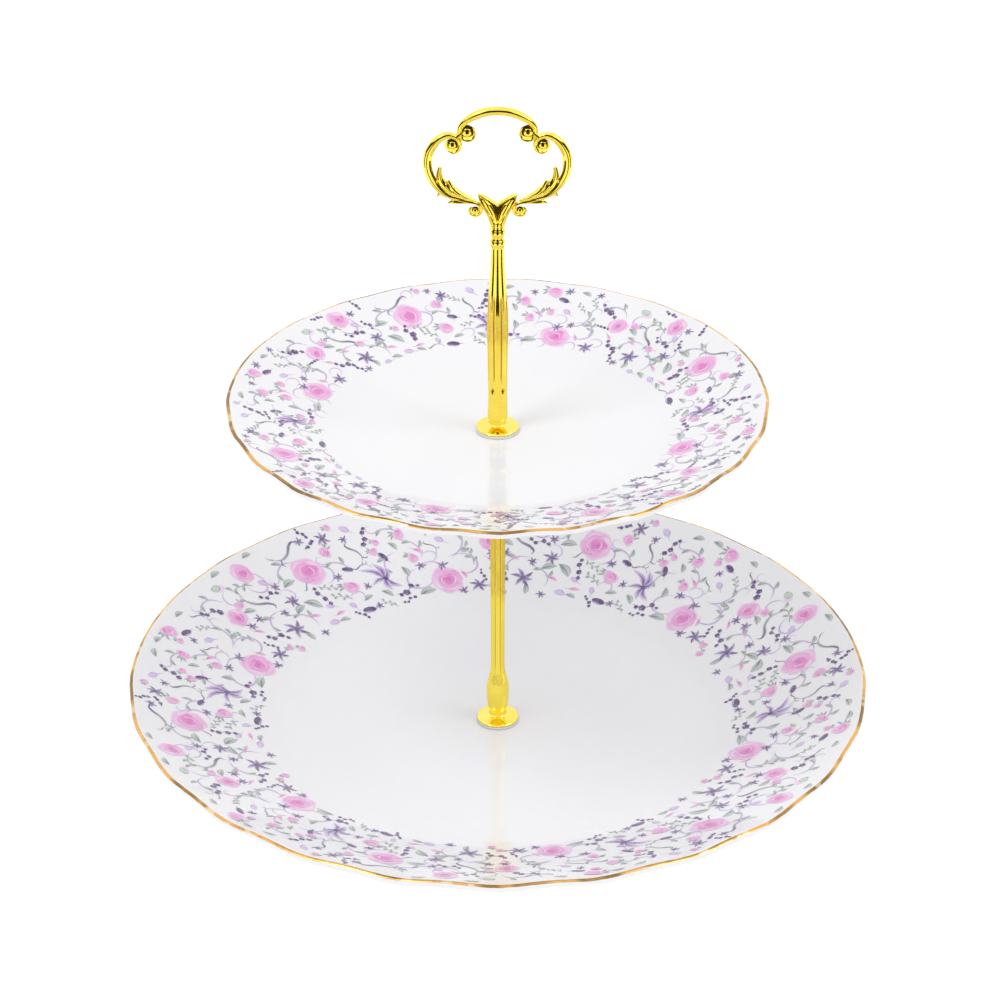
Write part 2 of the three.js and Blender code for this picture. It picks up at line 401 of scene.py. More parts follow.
def new_group(name: str, inputs: dict[str, float], outputs: Sequence[str]) -> tuple[bpy.types.NodeTree, Graph]:
    """Starts a shader node group with named float inputs and outputs, and object coordinates as its first input.

    Args:
        name: The group's name.
        inputs: Input name to its usual value.
        outputs: Output names.

    Returns:
        The group and a graph on it.
    """
    group = bpy.data.node_groups.new(name, "ShaderNodeTree")
    group.interface.new_socket("Place", in_out="INPUT", socket_type="NodeSocketVector")
    for key, value in inputs.items():
        socket = group.interface.new_socket(key, in_out="INPUT", socket_type="NodeSocketFloat")
        socket.default_value = value
    for key in outputs:
        group.interface.new_socket(key, in_out="OUTPUT", socket_type="NodeSocketFloat")
    return group, Graph(group)


class SharedEffects:
    """The shader node groups that several finishes use."""

    def __init__(self) -> None:
        """Builds every group once."""
        self.cloud = self._cloud()
        self.fine_wear = self._fine_wear()

    @staticmethod
    def _cloud() -> bpy.types.NodeTree:
        """Soft uneven tone: broad and fine noise together.

        Returns:
            A group with outputs Tone (around 0.5) and Swell (a slow height).
        """
        group, graph = new_group("soft_cloud", {"Broad": 30.0, "Fine": 400.0}, ("Tone", "Swell"))
        given = graph.tree.nodes.new("NodeGroupInput").outputs
        broad = graph.noise(given["Place"], given["Broad"], 2.0)
        fine = graph.noise(given["Place"], given["Fine"], 3.0)
        tone = graph.math("ADD", graph.math("MULTIPLY", broad, 0.6), graph.math("MULTIPLY", fine, 0.4))
        result = graph.tree.nodes.new("NodeGroupOutput")
        graph.feed(result.inputs["Tone"], tone)
        graph.feed(result.inputs["Swell"], broad)
        return group

    @staticmethod
    def _fine_wear() -> bpy.types.NodeTree:
        """Hairline polishing marks and tiny specks.

        Returns:
            A group with outputs Marks and Specks, both 0 to 1.
        """
        group, graph = new_group("fine_wear", {"Density": 900.0, "Stretch": 0.12}, ("Marks", "Specks"))
        given = graph.tree.nodes.new("NodeGroupInput").outputs
        squeeze = graph.node("ShaderNodeCombineXYZ", X=1.0, Y=1.0, Z=given["Stretch"]).outputs[0]
        lengthwise = graph.tree.nodes.new("ShaderNodeVectorMath")
        lengthwise.operation = "MULTIPLY"
        graph.feed(lengthwise.inputs[0], given["Place"])
        graph.feed(lengthwise.inputs[1], squeeze)
        lines = graph.noise(lengthwise.outputs[0], given["Density"], 3.0)
        cells = graph.node("ShaderNodeTexVoronoi", Vector=given["Place"], Scale=given["Density"])
        result = graph.tree.nodes.new("NodeGroupOutput")
        graph.feed(result.inputs["Marks"], graph.ramp(lines, 0.45, 0.75))
        graph.feed(result.inputs["Specks"], graph.ramp(cells.outputs["Distance"], 0.08, 0.02))
        return group


@dataclass(frozen=True)
class Finish:
    """What every finish starts from: a named material with one Principled shader."""

    name: str
    colour: Colour
    roughness: float

    def start(self) -> tuple[bpy.types.Material, Graph, bpy.types.Node]:
        """Makes the material and its shader.

        Returns:
            The material, a graph on it, and its Principled node.
        """
        material, graph = new_material(self.name)
        shader = graph.node("ShaderNodeBsdfPrincipled", Base_Color=(*self.colour, 1.0), Roughness=self.roughness)
        graph.end(shader.outputs["BSDF"])
        return material, graph, shader

    @staticmethod
    def effect(graph: Graph, group: bpy.types.NodeTree, **values: float) -> bpy.types.Node:
        """Places a shared effect in a material, fed with object coordinates.

        Args:
            graph: The material's graph.
            group: The effect.
            **values: Its input values.

        Returns:
            The group node.
        """
        made = graph.tree.nodes.new("ShaderNodeGroup")
        made.node_tree = group
        graph.feed(made.inputs["Place"], graph.place())
        for key, value in values.items():
            made.inputs[key].default_value = value
        return made


@dataclass(frozen=True)
class GildedPorcelain(Finish):
    """White glaze, a gold line along the lip with painted dark reflections and painted glints, and a bare ring
    where the plate was fired.
    """

    gold: Colour = linear((228, 178, 104))
    bare: Colour = linear((232, 226, 216))
    line_top: float = 1.75
    line_under: float = 0.45

    def build(self, effects: SharedEffects) -> bpy.types.Material:
        """Makes the material.

        Args:
            effects: The shared effects.

        Returns:
            The material. It reads the mesh's lip (mm from the lip's nose) and bare (0 to 1) values.
        """
        material, graph, shader = self.start()
        cloud = self.effect(graph, effects.cloud, Broad=25.0, Fine=260.0)
        specks = self.effect(graph, effects.fine_wear, Density=160.0, Stretch=1.0).outputs["Specks"]
        tone = graph.ramp(cloud.outputs["Tone"], 0.3, 0.7)
        glaze = graph.mix(tone, mixed(self.colour, (0.55, 0.57, 0.62), 0.05), self.colour)
        glaze = graph.mix(graph.math("MULTIPLY", specks, 0.12), glaze, (0.45, 0.42, 0.38))
        lip = graph.attribute("lip").outputs["Fac"]
        unsteady = graph.noise(graph.place(), 180.0, 2.0)
        lip = graph.math("ADD", lip, graph.math("MULTIPLY", graph.math("SUBTRACT", unsteady, 0.5), 0.4))
        above = graph.ramp(lip, self.line_under - 0.1, self.line_under + 0.1)
        below = graph.ramp(lip, self.line_top + 0.1, self.line_top - 0.1)
        gilt = graph.math("MULTIPLY", above, below)
        bare = graph.attribute("bare").outputs["Fac"]
        # painted reflection: noise patches darken the gold line towards brown-black, in place of the dark
        # surroundings that it would mirror
        dark_reflection = graph.ramp(graph.noise(graph.place(), 60.0, 3.0), 0.4, 0.6)
        gold = graph.mix(dark_reflection, mixed(self.gold, (0.02, 0.01, 0.0), 0.62), self.gold)
        # painted highlight: noise spots mix pale glints into the gold line's colour
        glint = graph.ramp(graph.noise(graph.place(), 150.0, 2.0), 0.56, 0.66)
        gold = graph.mix(graph.math("MULTIPLY", glint, 0.4), gold, (1.0, 0.9, 0.7))
        colour = graph.mix(gilt, graph.mix(bare, glaze, self.bare), gold)
        graph.feed(shader.inputs["Base Color"], colour)
        graph.feed(shader.inputs["Metallic"], gilt)
        rough = graph.math("ADD", graph.ramp(tone, 0.0, 1.0, self.roughness, self.roughness + 0.04),
                           graph.math("MULTIPLY", bare, 0.6))
        graph.feed(shader.inputs["Roughness"], graph.math("ADD", rough, graph.math("MULTIPLY", gilt, 0.12)))
        graph.feed(shader.inputs["Normal"], graph.bump(cloud.outputs["Swell"], 0.00025, 0.35))
        return material


@dataclass(frozen=True)
class PrintedEnamel(Finish):
    """Overglaze transfer print: its colour is painted on the mesh, and pools a little unevenly."""

    def build(self, effects: SharedEffects) -> bpy.types.Material:
        """Makes the material.

        Args:
            effects: The shared effects.

        Returns:
            The material. It reads the mesh's ink colour.
        """
        material, graph, shader = self.start()
        ink = graph.attribute("ink").outputs["Color"]
        cloud = self.effect(graph, effects.cloud, Broad=500.0, Fine=2600.0)
        pooled = graph.ramp(cloud.outputs["Tone"], 0.35, 0.68, 0.0, 0.16)
        graph.feed(shader.inputs["Base Color"], graph.mix(pooled, ink, self.colour))
        graph.feed(shader.inputs["Roughness"], graph.ramp(cloud.outputs["Tone"], 0.3, 0.7, self.roughness, 0.16))
        return material


@dataclass(frozen=True)
class GiltMetal(Finish):
    """Bright gold plating over a casting: mirror-like, faintly uneven, with polishing marks, and painted shade in
    its hollows.
    """

    deep: Colour = linear((253, 222, 82))
    # painted shade: the darker, redder gold of grooves and dimples, in place of their shadow and inter-reflection
    hollow: Colour = linear((176, 106, 26))
    swell: float = 0.00002

    def build(self, effects: SharedEffects) -> bpy.types.Material:
        """Makes the material.

        Args:
            effects: The shared effects.

        Returns:
            The material. It reads the mesh's value for how deep a place sits in a hollow, 1 in a hollow and 0
            elsewhere, and paints shade there as a darker, redder gold.
        """
        material, graph, shader = self.start()
        shader.inputs["Metallic"].default_value = 1.0
        cloud = self.effect(graph, effects.cloud, Broad=160.0, Fine=1500.0)
        wear = self.effect(graph, effects.fine_wear, Density=2600.0, Stretch=0.1)
        tone = graph.ramp(cloud.outputs["Tone"], 0.35, 0.65)
        recess_shade = graph.attribute("recess_shade").outputs["Fac"]
        bright = graph.mix(tone, self.deep, self.colour)
        # painted shade: hollows take the hollow colour
        graph.feed(shader.inputs["Base Color"], graph.mix(recess_shade, bright, self.hollow))
        worn = graph.math("MULTIPLY", wear.outputs["Marks"], 0.05)
        worn = graph.math("ADD", worn, graph.math("MULTIPLY", recess_shade, 0.2))
        graph.feed(shader.inputs["Roughness"], graph.math("ADD", worn, self.roughness))
        graph.feed(shader.inputs["Normal"], graph.bump(cloud.outputs["Swell"], self.swell, 0.5))
        return material


@dataclass(frozen=True)
class PlatedSteel(Finish):
    """Zinc-plated screws and washers, with a fine turned grain."""

    def build(self, effects: SharedEffects) -> bpy.types.Material:
        """Makes the material.

        Args:
            effects: The shared effects.

        Returns:
            The material.
        """
        material, graph, shader = self.start()
        shader.inputs["Metallic"].default_value = 1.0
        wear = self.effect(graph, effects.fine_wear, Density=1800.0, Stretch=6.0)
        cloud = self.effect(graph, effects.cloud, Broad=200.0, Fine=1400.0)
        dull = mixed(self.colour, (0.3, 0.3, 0.31), 0.45)
        graph.feed(shader.inputs["Base Color"], graph.mix(cloud.outputs["Tone"], self.colour, dull))
        marks = graph.math("MULTIPLY", wear.outputs["Marks"], 0.2)
        graph.feed(shader.inputs["Roughness"], graph.math("ADD", marks, self.roughness))
        graph.feed(shader.inputs["Normal"], graph.bump(wear.outputs["Marks"], 0.00003, 0.4))
        return material


@dataclass(frozen=True)
class ClearRubber(Finish):
    """Soft clear vinyl, a little cloudy."""

    def build(self, effects: SharedEffects) -> bpy.types.Material:
        """Makes the material.

        Args:
            effects: The shared effects.

        Returns:
            The material.
        """
        material, graph, shader = self.start()
        shader.inputs["Transmission Weight"].default_value = 0.2
        shader.inputs["IOR"].default_value = 1.45
        cloud = self.effect(graph, effects.cloud, Broad=300.0, Fine=1800.0)
        dusty = mixed(self.colour, (0.6, 0.6, 0.58), 0.15)
        graph.feed(shader.inputs["Base Color"], graph.mix(cloud.outputs["Tone"], self.colour, dusty))
        graph.feed(shader.inputs["Roughness"], graph.ramp(cloud.outputs["Tone"], 0.3, 0.7, self.roughness, 0.55))
        graph.feed(shader.inputs["Normal"], graph.bump(cloud.outputs["Tone"], 0.00004, 0.5))
        return material


@dataclass(frozen=True)
class Finishes:
    """Every material of the stand, built once."""

    porcelain: bpy.types.Material
    enamel: bpy.types.Material
    gilt: bpy.types.Material
    rod_gilt: bpy.types.Material
    polished_gilt: bpy.types.Material
    steel: bpy.types.Material
    rubber: bpy.types.Material

    @classmethod
    def build(cls) -> "Finishes":
        """Builds the shared effects and then each material.

        Returns:
            Every material.
        """
        effects = SharedEffects()
        glaze = Ink.WHITE.colour
        return cls(
            porcelain=GildedPorcelain("gilded_porcelain", glaze, 0.07).build(effects),
            enamel=PrintedEnamel("printed_enamel", glaze, 0.09).build(effects),
            gilt=GiltMetal("cast_gilt", linear((255, 232, 98)), 0.07).build(effects),
            # the rod's hollow colour is painted shade in its flutes, kept light
            rod_gilt=GiltMetal("rod_gilt", linear((255, 234, 98)), 0.07, deep=linear((255, 230, 90)),
                               hollow=linear((214, 172, 52)), swell=0.000004).build(effects),
            polished_gilt=GiltMetal("polished_gilt", linear((252, 232, 128)), 0.04, swell=0.00002).build(effects),
            steel=PlatedSteel("plated_steel", (0.62, 0.62, 0.6), 0.25).build(effects),
            rubber=ClearRubber("clear_rubber", (0.93, 0.94, 0.94), 0.3).build(effects),
        )


# ---- geometry node trees ----


def dress_result(tree: bpy.types.NodeTree, made: bpy.types.NodeSocket, finish: bpy.types.NodeSocket) -> None:
    """Ends a geometry node tree: its instances become real, in one material.

    Args:
        tree: The tree.
        made: What it has made.
        finish: Its material input.
    """
    nodes, links = tree.nodes, tree.links
    real, dress = nodes.new("GeometryNodeRealizeInstances"), nodes.new("GeometryNodeSetMaterial")
    links.new(made, real.inputs[0])
    links.new(real.outputs[0], dress.inputs["Geometry"])
    links.new(finish, dress.inputs["Material"])
    links.new(dress.outputs[0], nodes.new("NodeGroupOutput").inputs[0])


class RingRepeat:
    """A geometry node tree that sets copies of its input evenly round the vertical axis."""

    def __init__(self) -> None:
        """Builds the tree."""
        tree = bpy.data.node_groups.new("ring_repeat", "GeometryNodeTree")
        face = tree.interface
        face.new_socket("Geometry", in_out="INPUT", socket_type="NodeSocketGeometry")
        self.copies = face.new_socket("Copies", in_out="INPUT", socket_type="NodeSocketInt").identifier
        self.finish = face.new_socket("Finish", in_out="INPUT", socket_type="NodeSocketMaterial").identifier
        face.new_socket("Geometry", in_out="OUTPUT", socket_type="NodeSocketGeometry")
        nodes, links = tree.nodes, tree.links
        given = nodes.new("NodeGroupInput")
        points = nodes.new("GeometryNodePoints")
        links.new(given.outputs["Copies"], points.inputs["Count"])
        step = nodes.new("ShaderNodeMath")
        step.operation = "DIVIDE"
        step.inputs[0].default_value = TAU
        links.new(given.outputs["Copies"], step.inputs[1])
        angle = nodes.new("ShaderNodeMath")
        angle.operation = "MULTIPLY"
        links.new(nodes.new("GeometryNodeInputIndex").outputs[0], angle.inputs[0])
        links.new(step.outputs[0], angle.inputs[1])
        euler = nodes.new("ShaderNodeCombineXYZ")
        links.new(angle.outputs[0], euler.inputs["Z"])
        turn = nodes.new("FunctionNodeEulerToRotation")
        links.new(euler.outputs[0], turn.inputs[0])
        spread = nodes.new("GeometryNodeInstanceOnPoints")
        links.new(points.outputs[0], spread.inputs["Points"])
        links.new(given.outputs["Geometry"], spread.inputs["Instance"])
        links.new(turn.outputs[0], spread.inputs["Rotation"])
        dress_result(tree, spread.outputs[0], given.outputs["Finish"])
        self.tree = tree

    def apply(self, sector: bpy.types.Object, copies: int, finish: bpy.types.Material) -> bpy.types.Object:
        """Repeats a sector round the axis and returns the plain result.

        Args:
            sector: The object to repeat. It is removed.
            copies: How many there are in all.
            finish: Their material.

        Returns:
            The object with every copy in its mesh.
        """
        name = sector.name
        modifier = sector.modifiers.new("ring", "NODES")
        modifier.node_group = self.tree
        modifier[self.copies] = copies
        modifier[self.finish] = finish
        return plain_copy(sector, name)


class ScrewThread:
    """A geometry node tree that winds a thread: a helix swept with a small round ridge."""

    STEPS_PER_TURN = 28
    RIDGE_SIDES = 6
    RIDGE_SHARE = 0.42  # the ridge's radius, as a share of the pitch

    def __init__(self) -> None:
        """Builds the tree."""
        tree = bpy.data.node_groups.new("screw_thread", "GeometryNodeTree")
        face = tree.interface
        self.inputs = {
            key: face.new_socket(key, in_out="INPUT", socket_type="NodeSocketFloat").identifier
            for key in ("Radius", "Turns", "Length", "Ridge")
        }
        self.finish = face.new_socket("Finish", in_out="INPUT", socket_type="NodeSocketMaterial").identifier
        face.new_socket("Geometry", in_out="OUTPUT", socket_type="NodeSocketGeometry")
        nodes, links = tree.nodes, tree.links
        given = nodes.new("NodeGroupInput")
        helix = nodes.new("GeometryNodeCurveSpiral")
        helix.inputs["Resolution"].default_value = self.STEPS_PER_TURN
        links.new(given.outputs["Turns"], helix.inputs["Rotations"])
        links.new(given.outputs["Radius"], helix.inputs["Start Radius"])
        links.new(given.outputs["Radius"], helix.inputs["End Radius"])
        links.new(given.outputs["Length"], helix.inputs["Height"])
        section = nodes.new("GeometryNodeCurvePrimitiveCircle")
        section.inputs["Resolution"].default_value = self.RIDGE_SIDES
        links.new(given.outputs["Ridge"], section.inputs["Radius"])
        sweep = nodes.new("GeometryNodeCurveToMesh")
        links.new(helix.outputs[0], sweep.inputs["Curve"])
        links.new(section.outputs[0], sweep.inputs["Profile Curve"])
        sweep.inputs["Fill Caps"].default_value = True
        dress_result(tree, sweep.outputs[0], given.outputs["Finish"])
        self.tree = tree

    def wind(self, radius: float, pitch: float, from_z: float, to_z: float,
             finish: bpy.types.Material) -> bpy.types.Object:
        """Winds a thread round the axis.

        Args:
            radius: The crest's radius.
            pitch: Rise of one turn.
            from_z: Height of the lower end.
            to_z: Height of the upper end.
            finish: Its material.

        Returns:
            A plain object that holds the thread.
        """
        holder = bpy.data.objects.new("thread", bpy.data.meshes.new("thread"))
        bpy.context.scene.collection.objects.link(holder)
        modifier = holder.modifiers.new("wind", "NODES")
        modifier.node_group = self.tree
        ridge = self.RIDGE_SHARE * pitch
        sizes = {"Radius": (radius - ridge) * MM, "Turns": (to_z - from_z) / pitch,
                 "Length": (to_z - from_z) * MM, "Ridge": ridge * MM}
        for key, value in sizes.items():
            modifier[self.inputs[key]] = float(value)
        modifier[self.finish] = finish
        made = plain_copy(holder, "thread")
        made.data.transform(Matrix.Translation((0, 0, from_z * MM)))
        return made


# ---- turned pieces ----


@dataclass
class Turned:
    """A piece of revolution about the vertical axis, with its outline rounded where the maker would."""

    name: str
    outline: list[Point2]  # [radius, height], once round the section
    segments: int = 96
    round_off: float = 0.12

    def rounded(self) -> list[Point2]:
        """The outline with each corner eased by a short arc.

        Returns:
            The new outline.
        """
        count = len(self.outline)
        made: list[Point2] = []
        for i, (r, z) in enumerate(self.outline):
            here = np.array([r, z])
            if r < TINY:
                made.append((r, z))
                continue
            before, after = (np.array(self.outline[(i + k) % count]) for k in (-1, 1))
            if min(np.linalg.norm(before - here), np.linalg.norm(after - here)) < TINY:
                raise ValueError(f"{self.name} repeats a point")
            reach = min(self.round_off, 0.4 * np.linalg.norm(before - here), 0.4 * np.linalg.norm(after - here))
            start = here + (before - here) / np.linalg.norm(before - here) * reach
            end = here + (after - here) / np.linalg.norm(after - here) * reach
            for t in (0.0, 0.33, 0.67, 1.0):
                curve = (1 - t) ** 2 * start + 2 * t * (1 - t) * here + t * t * end
                made.append((float(curve[0]), float(curve[1])))
        return made

    def build(self, finish: bpy.types.Material) -> bpy.types.Object:
        """Turns the outline and dresses the result.

        Args:
            finish: The material.

        Returns:
            The object.
        """
        section = self.rounded()
        draft = MeshDraft()
        rows = []
        for k in range(self.segments):
            turn = TAU * k / self.segments
            rows.append([(r * math.cos(turn), r * math.sin(turn), z) for r, z in section])
        draft.grid(rows, loop_rows=True, loop_columns=True)
        piece = draft.object(self.name)
        turn_outward(piece, weld=WELD)
        piece.data.materials.append(finish)
        sharpen(piece, 50)
        return piece


def sharpen(piece: bpy.types.Object, degrees: float) -> None:
    """Shades a piece smooth, apart from edges that turn by more than the given angle.

    Args:
        piece: The object.
        degrees: The largest angle that is shaded smooth.
    """
    piece.data.shade_smooth()
    piece.data.set_sharp_from_angle(angle=math.radians(degrees))


@dataclass
class Hardware:
    """The flanges, gaskets, washer, screw and stud that clamp the stand together."""

    finishes: Finishes
    threads: ScrewThread
    bore: float = BORE_RADIUS
    thread_radius: float = 1.95
    pitch: float = 0.7
    thread_depth: float = 0.42
    collar: float = 2.8
    disc: float = 0.9
    hole: float = 3.0
    gasket_trim: float = 0.28

    def span(self, node: str) -> tuple[float, float, float]:
        """A CAD node's lowest and highest z and its outer radius, in millimetres."""
        low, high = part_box(node)
        return low.z / MM, high.z / MM, high.x / MM

    def flange(self, node: str, upside_down: bool = False) -> bpy.types.Object:
        """A disc with a collar that sweeps down onto it.

        Args:
            node: The CAD node that it stands for.
            upside_down: Whether the collar is below the disc.

        Returns:
            The object.
        """
        low, high, radius = self.span(node)
        skirt = radius - 0.55 - self.collar
        sweep = [(self.collar + skirt * (1 - math.sin(a)), self.disc + 1.25 * (1 - math.cos(a)))
                 for a in np.linspace(0.0, math.pi / 2, 15)]
        outline = [(self.bore, 0.0), (radius - 0.25, 0.0), (radius, 0.25), (radius, self.disc * 0.62),
                   (radius - 0.25, self.disc * 0.92), *sweep, (self.collar, high - low - 0.15),
                   (self.collar - 0.15, high - low), (self.bore, high - low)]
        placed = [(r, high - z if upside_down else low + z) for r, z in outline]
        return Turned(f"{node}_look", placed, segments=128).build(self.finishes.polished_gilt)

    def ring(self, node: str, inner: float, finish: bpy.types.Material, soft: float) -> bpy.types.Object:
        """A flat ring, such as a gasket or a washer.

        Args:
            node: The CAD node that it stands for.
            inner: Radius of its hole.
            finish: Its material.
            soft: How much its corners are rounded.

        Returns:
            The object.
        """
        low, high, radius = self.span(node)
        radius -= self.gasket_trim if finish == self.finishes.rubber else 0.0
        outline = [(inner, low), (radius, low), (radius, high), (inner, high)]
        return Turned(f"{node}_look", outline, segments=128, round_off=soft).build(finish)

    def screw(self, slot_length: float = 8.0, slot_width: float = 1.2,
              slot_depth: float = 0.6) -> bpy.types.Object:
        """The wide-headed screw under the lower plate.

        Args:
            slot_length: Length of the slot in its head.
            slot_width: Width of the slot.
            slot_depth: Depth of the slot.

        Returns:
            The object.
        """
        low, high, radius = self.span("base_screw")
        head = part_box("base_washer")[0].z / MM
        core = self.thread_radius - self.thread_depth
        outline = [(0.0, low), (radius - 0.5, low), (radius, low + 0.5), (radius, head), (core, head),
                   (core, high - 0.4), (core - 0.5, high), (0.0, high)]
        body = Turned("base_screw_look", outline, segments=96).build(self.finishes.steel)
        cutter = MeshDraft()
        half = (slot_length / 2, slot_width / 2)
        rows = [[(x, y, low - 1), (x, y, low + slot_depth)] for x, y in
                ((-half[0], -half[1]), (half[0], -half[1]), (half[0], half[1]), (-half[0], half[1]))]
        cutter.grid(rows, loop_rows=True, loop_columns=False)
        cutter.faces += [(0, 2, 4, 6), (1, 7, 5, 3)]
        blade = cutter.object("slot_cutter")
        turn_outward(blade)
        cut = body.modifiers.new("slot", "BOOLEAN")
        cut.operation, cut.object, cut.solver = "DIFFERENCE", blade, "EXACT"
        body = plain_copy(body, "base_screw_look")
        bpy.data.objects.remove(blade)
        sharpen(body, 40)
        thread = self.threads.wind(self.thread_radius, self.pitch, head + 0.5, high - 0.4, self.finishes.steel)
        return joined([body, thread], "base_screw_look")

    def stud(self) -> bpy.types.Object:
        """The threaded stud between the centre rod and the handle."""
        low, high, _ = self.span("joining_stud")
        core = self.thread_radius - self.thread_depth
        outline = [(0.0, low), (core - 0.3, low), (core, low + 0.3), (core, high - 0.4), (core - 0.5, high),
                   (0.0, high)]
        body = Turned("joining_stud_look", outline, segments=64).build(self.finishes.steel)
        thread = self.threads.wind(self.thread_radius, self.pitch, low + 0.4, high - 0.4, self.finishes.steel)
        return joined([body, thread], "joining_stud_look")

    def build(self) -> None:
        """Builds every piece and seats each on its body."""
        steel, rubber = self.finishes.steel, self.finishes.rubber
        gaskets = (("base_gasket", 0.35, "lower_tier"), ("under_gasket", 0.3, "lower_tier"),
                   ("support_gasket", 0.35, "column"), ("top_gasket", 0.35, "upper_tier"))
        done = [
            (self.flange("base_flange"), "base_flange", "base_flange", "gold"),
            (self.flange("support_flange", upside_down=True), "support_flange", "column", "gold"),
            (self.flange("top_flange"), "top_flange", "top_flange", "gold"),
            *((self.ring(node, self.hole, rubber, soft), node, body, "clear_rubber")
              for node, soft, body in gaskets),
            (self.ring("base_washer", self.bore, steel, 0.2), "base_washer", "lower_tier", "zinc"),
            (self.screw(), "base_screw", "lower_tier", "zinc"),
            (self.stud(), "joining_stud", "column", "zinc"),
        ]
        for piece, node, body, slot in done:
            seat(piece, body, slot, node)


def seat(piece: bpy.types.Object, body: str, slot: str, *nodes: str) -> None:
    """Makes a finished piece ride on its body, in place of its CAD nodes.

    Args:
        piece: The finished object.
        body: The body's name.
        slot: The record's material slot. It is not used.
        *nodes: The CAD nodes that it stands for.
    """
    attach(piece, body)
    if nodes:
        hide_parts(*nodes)
    log.info("%s: %d faces, on %s", piece.name, len(piece.data.polygons), body)


# ---- plates ----


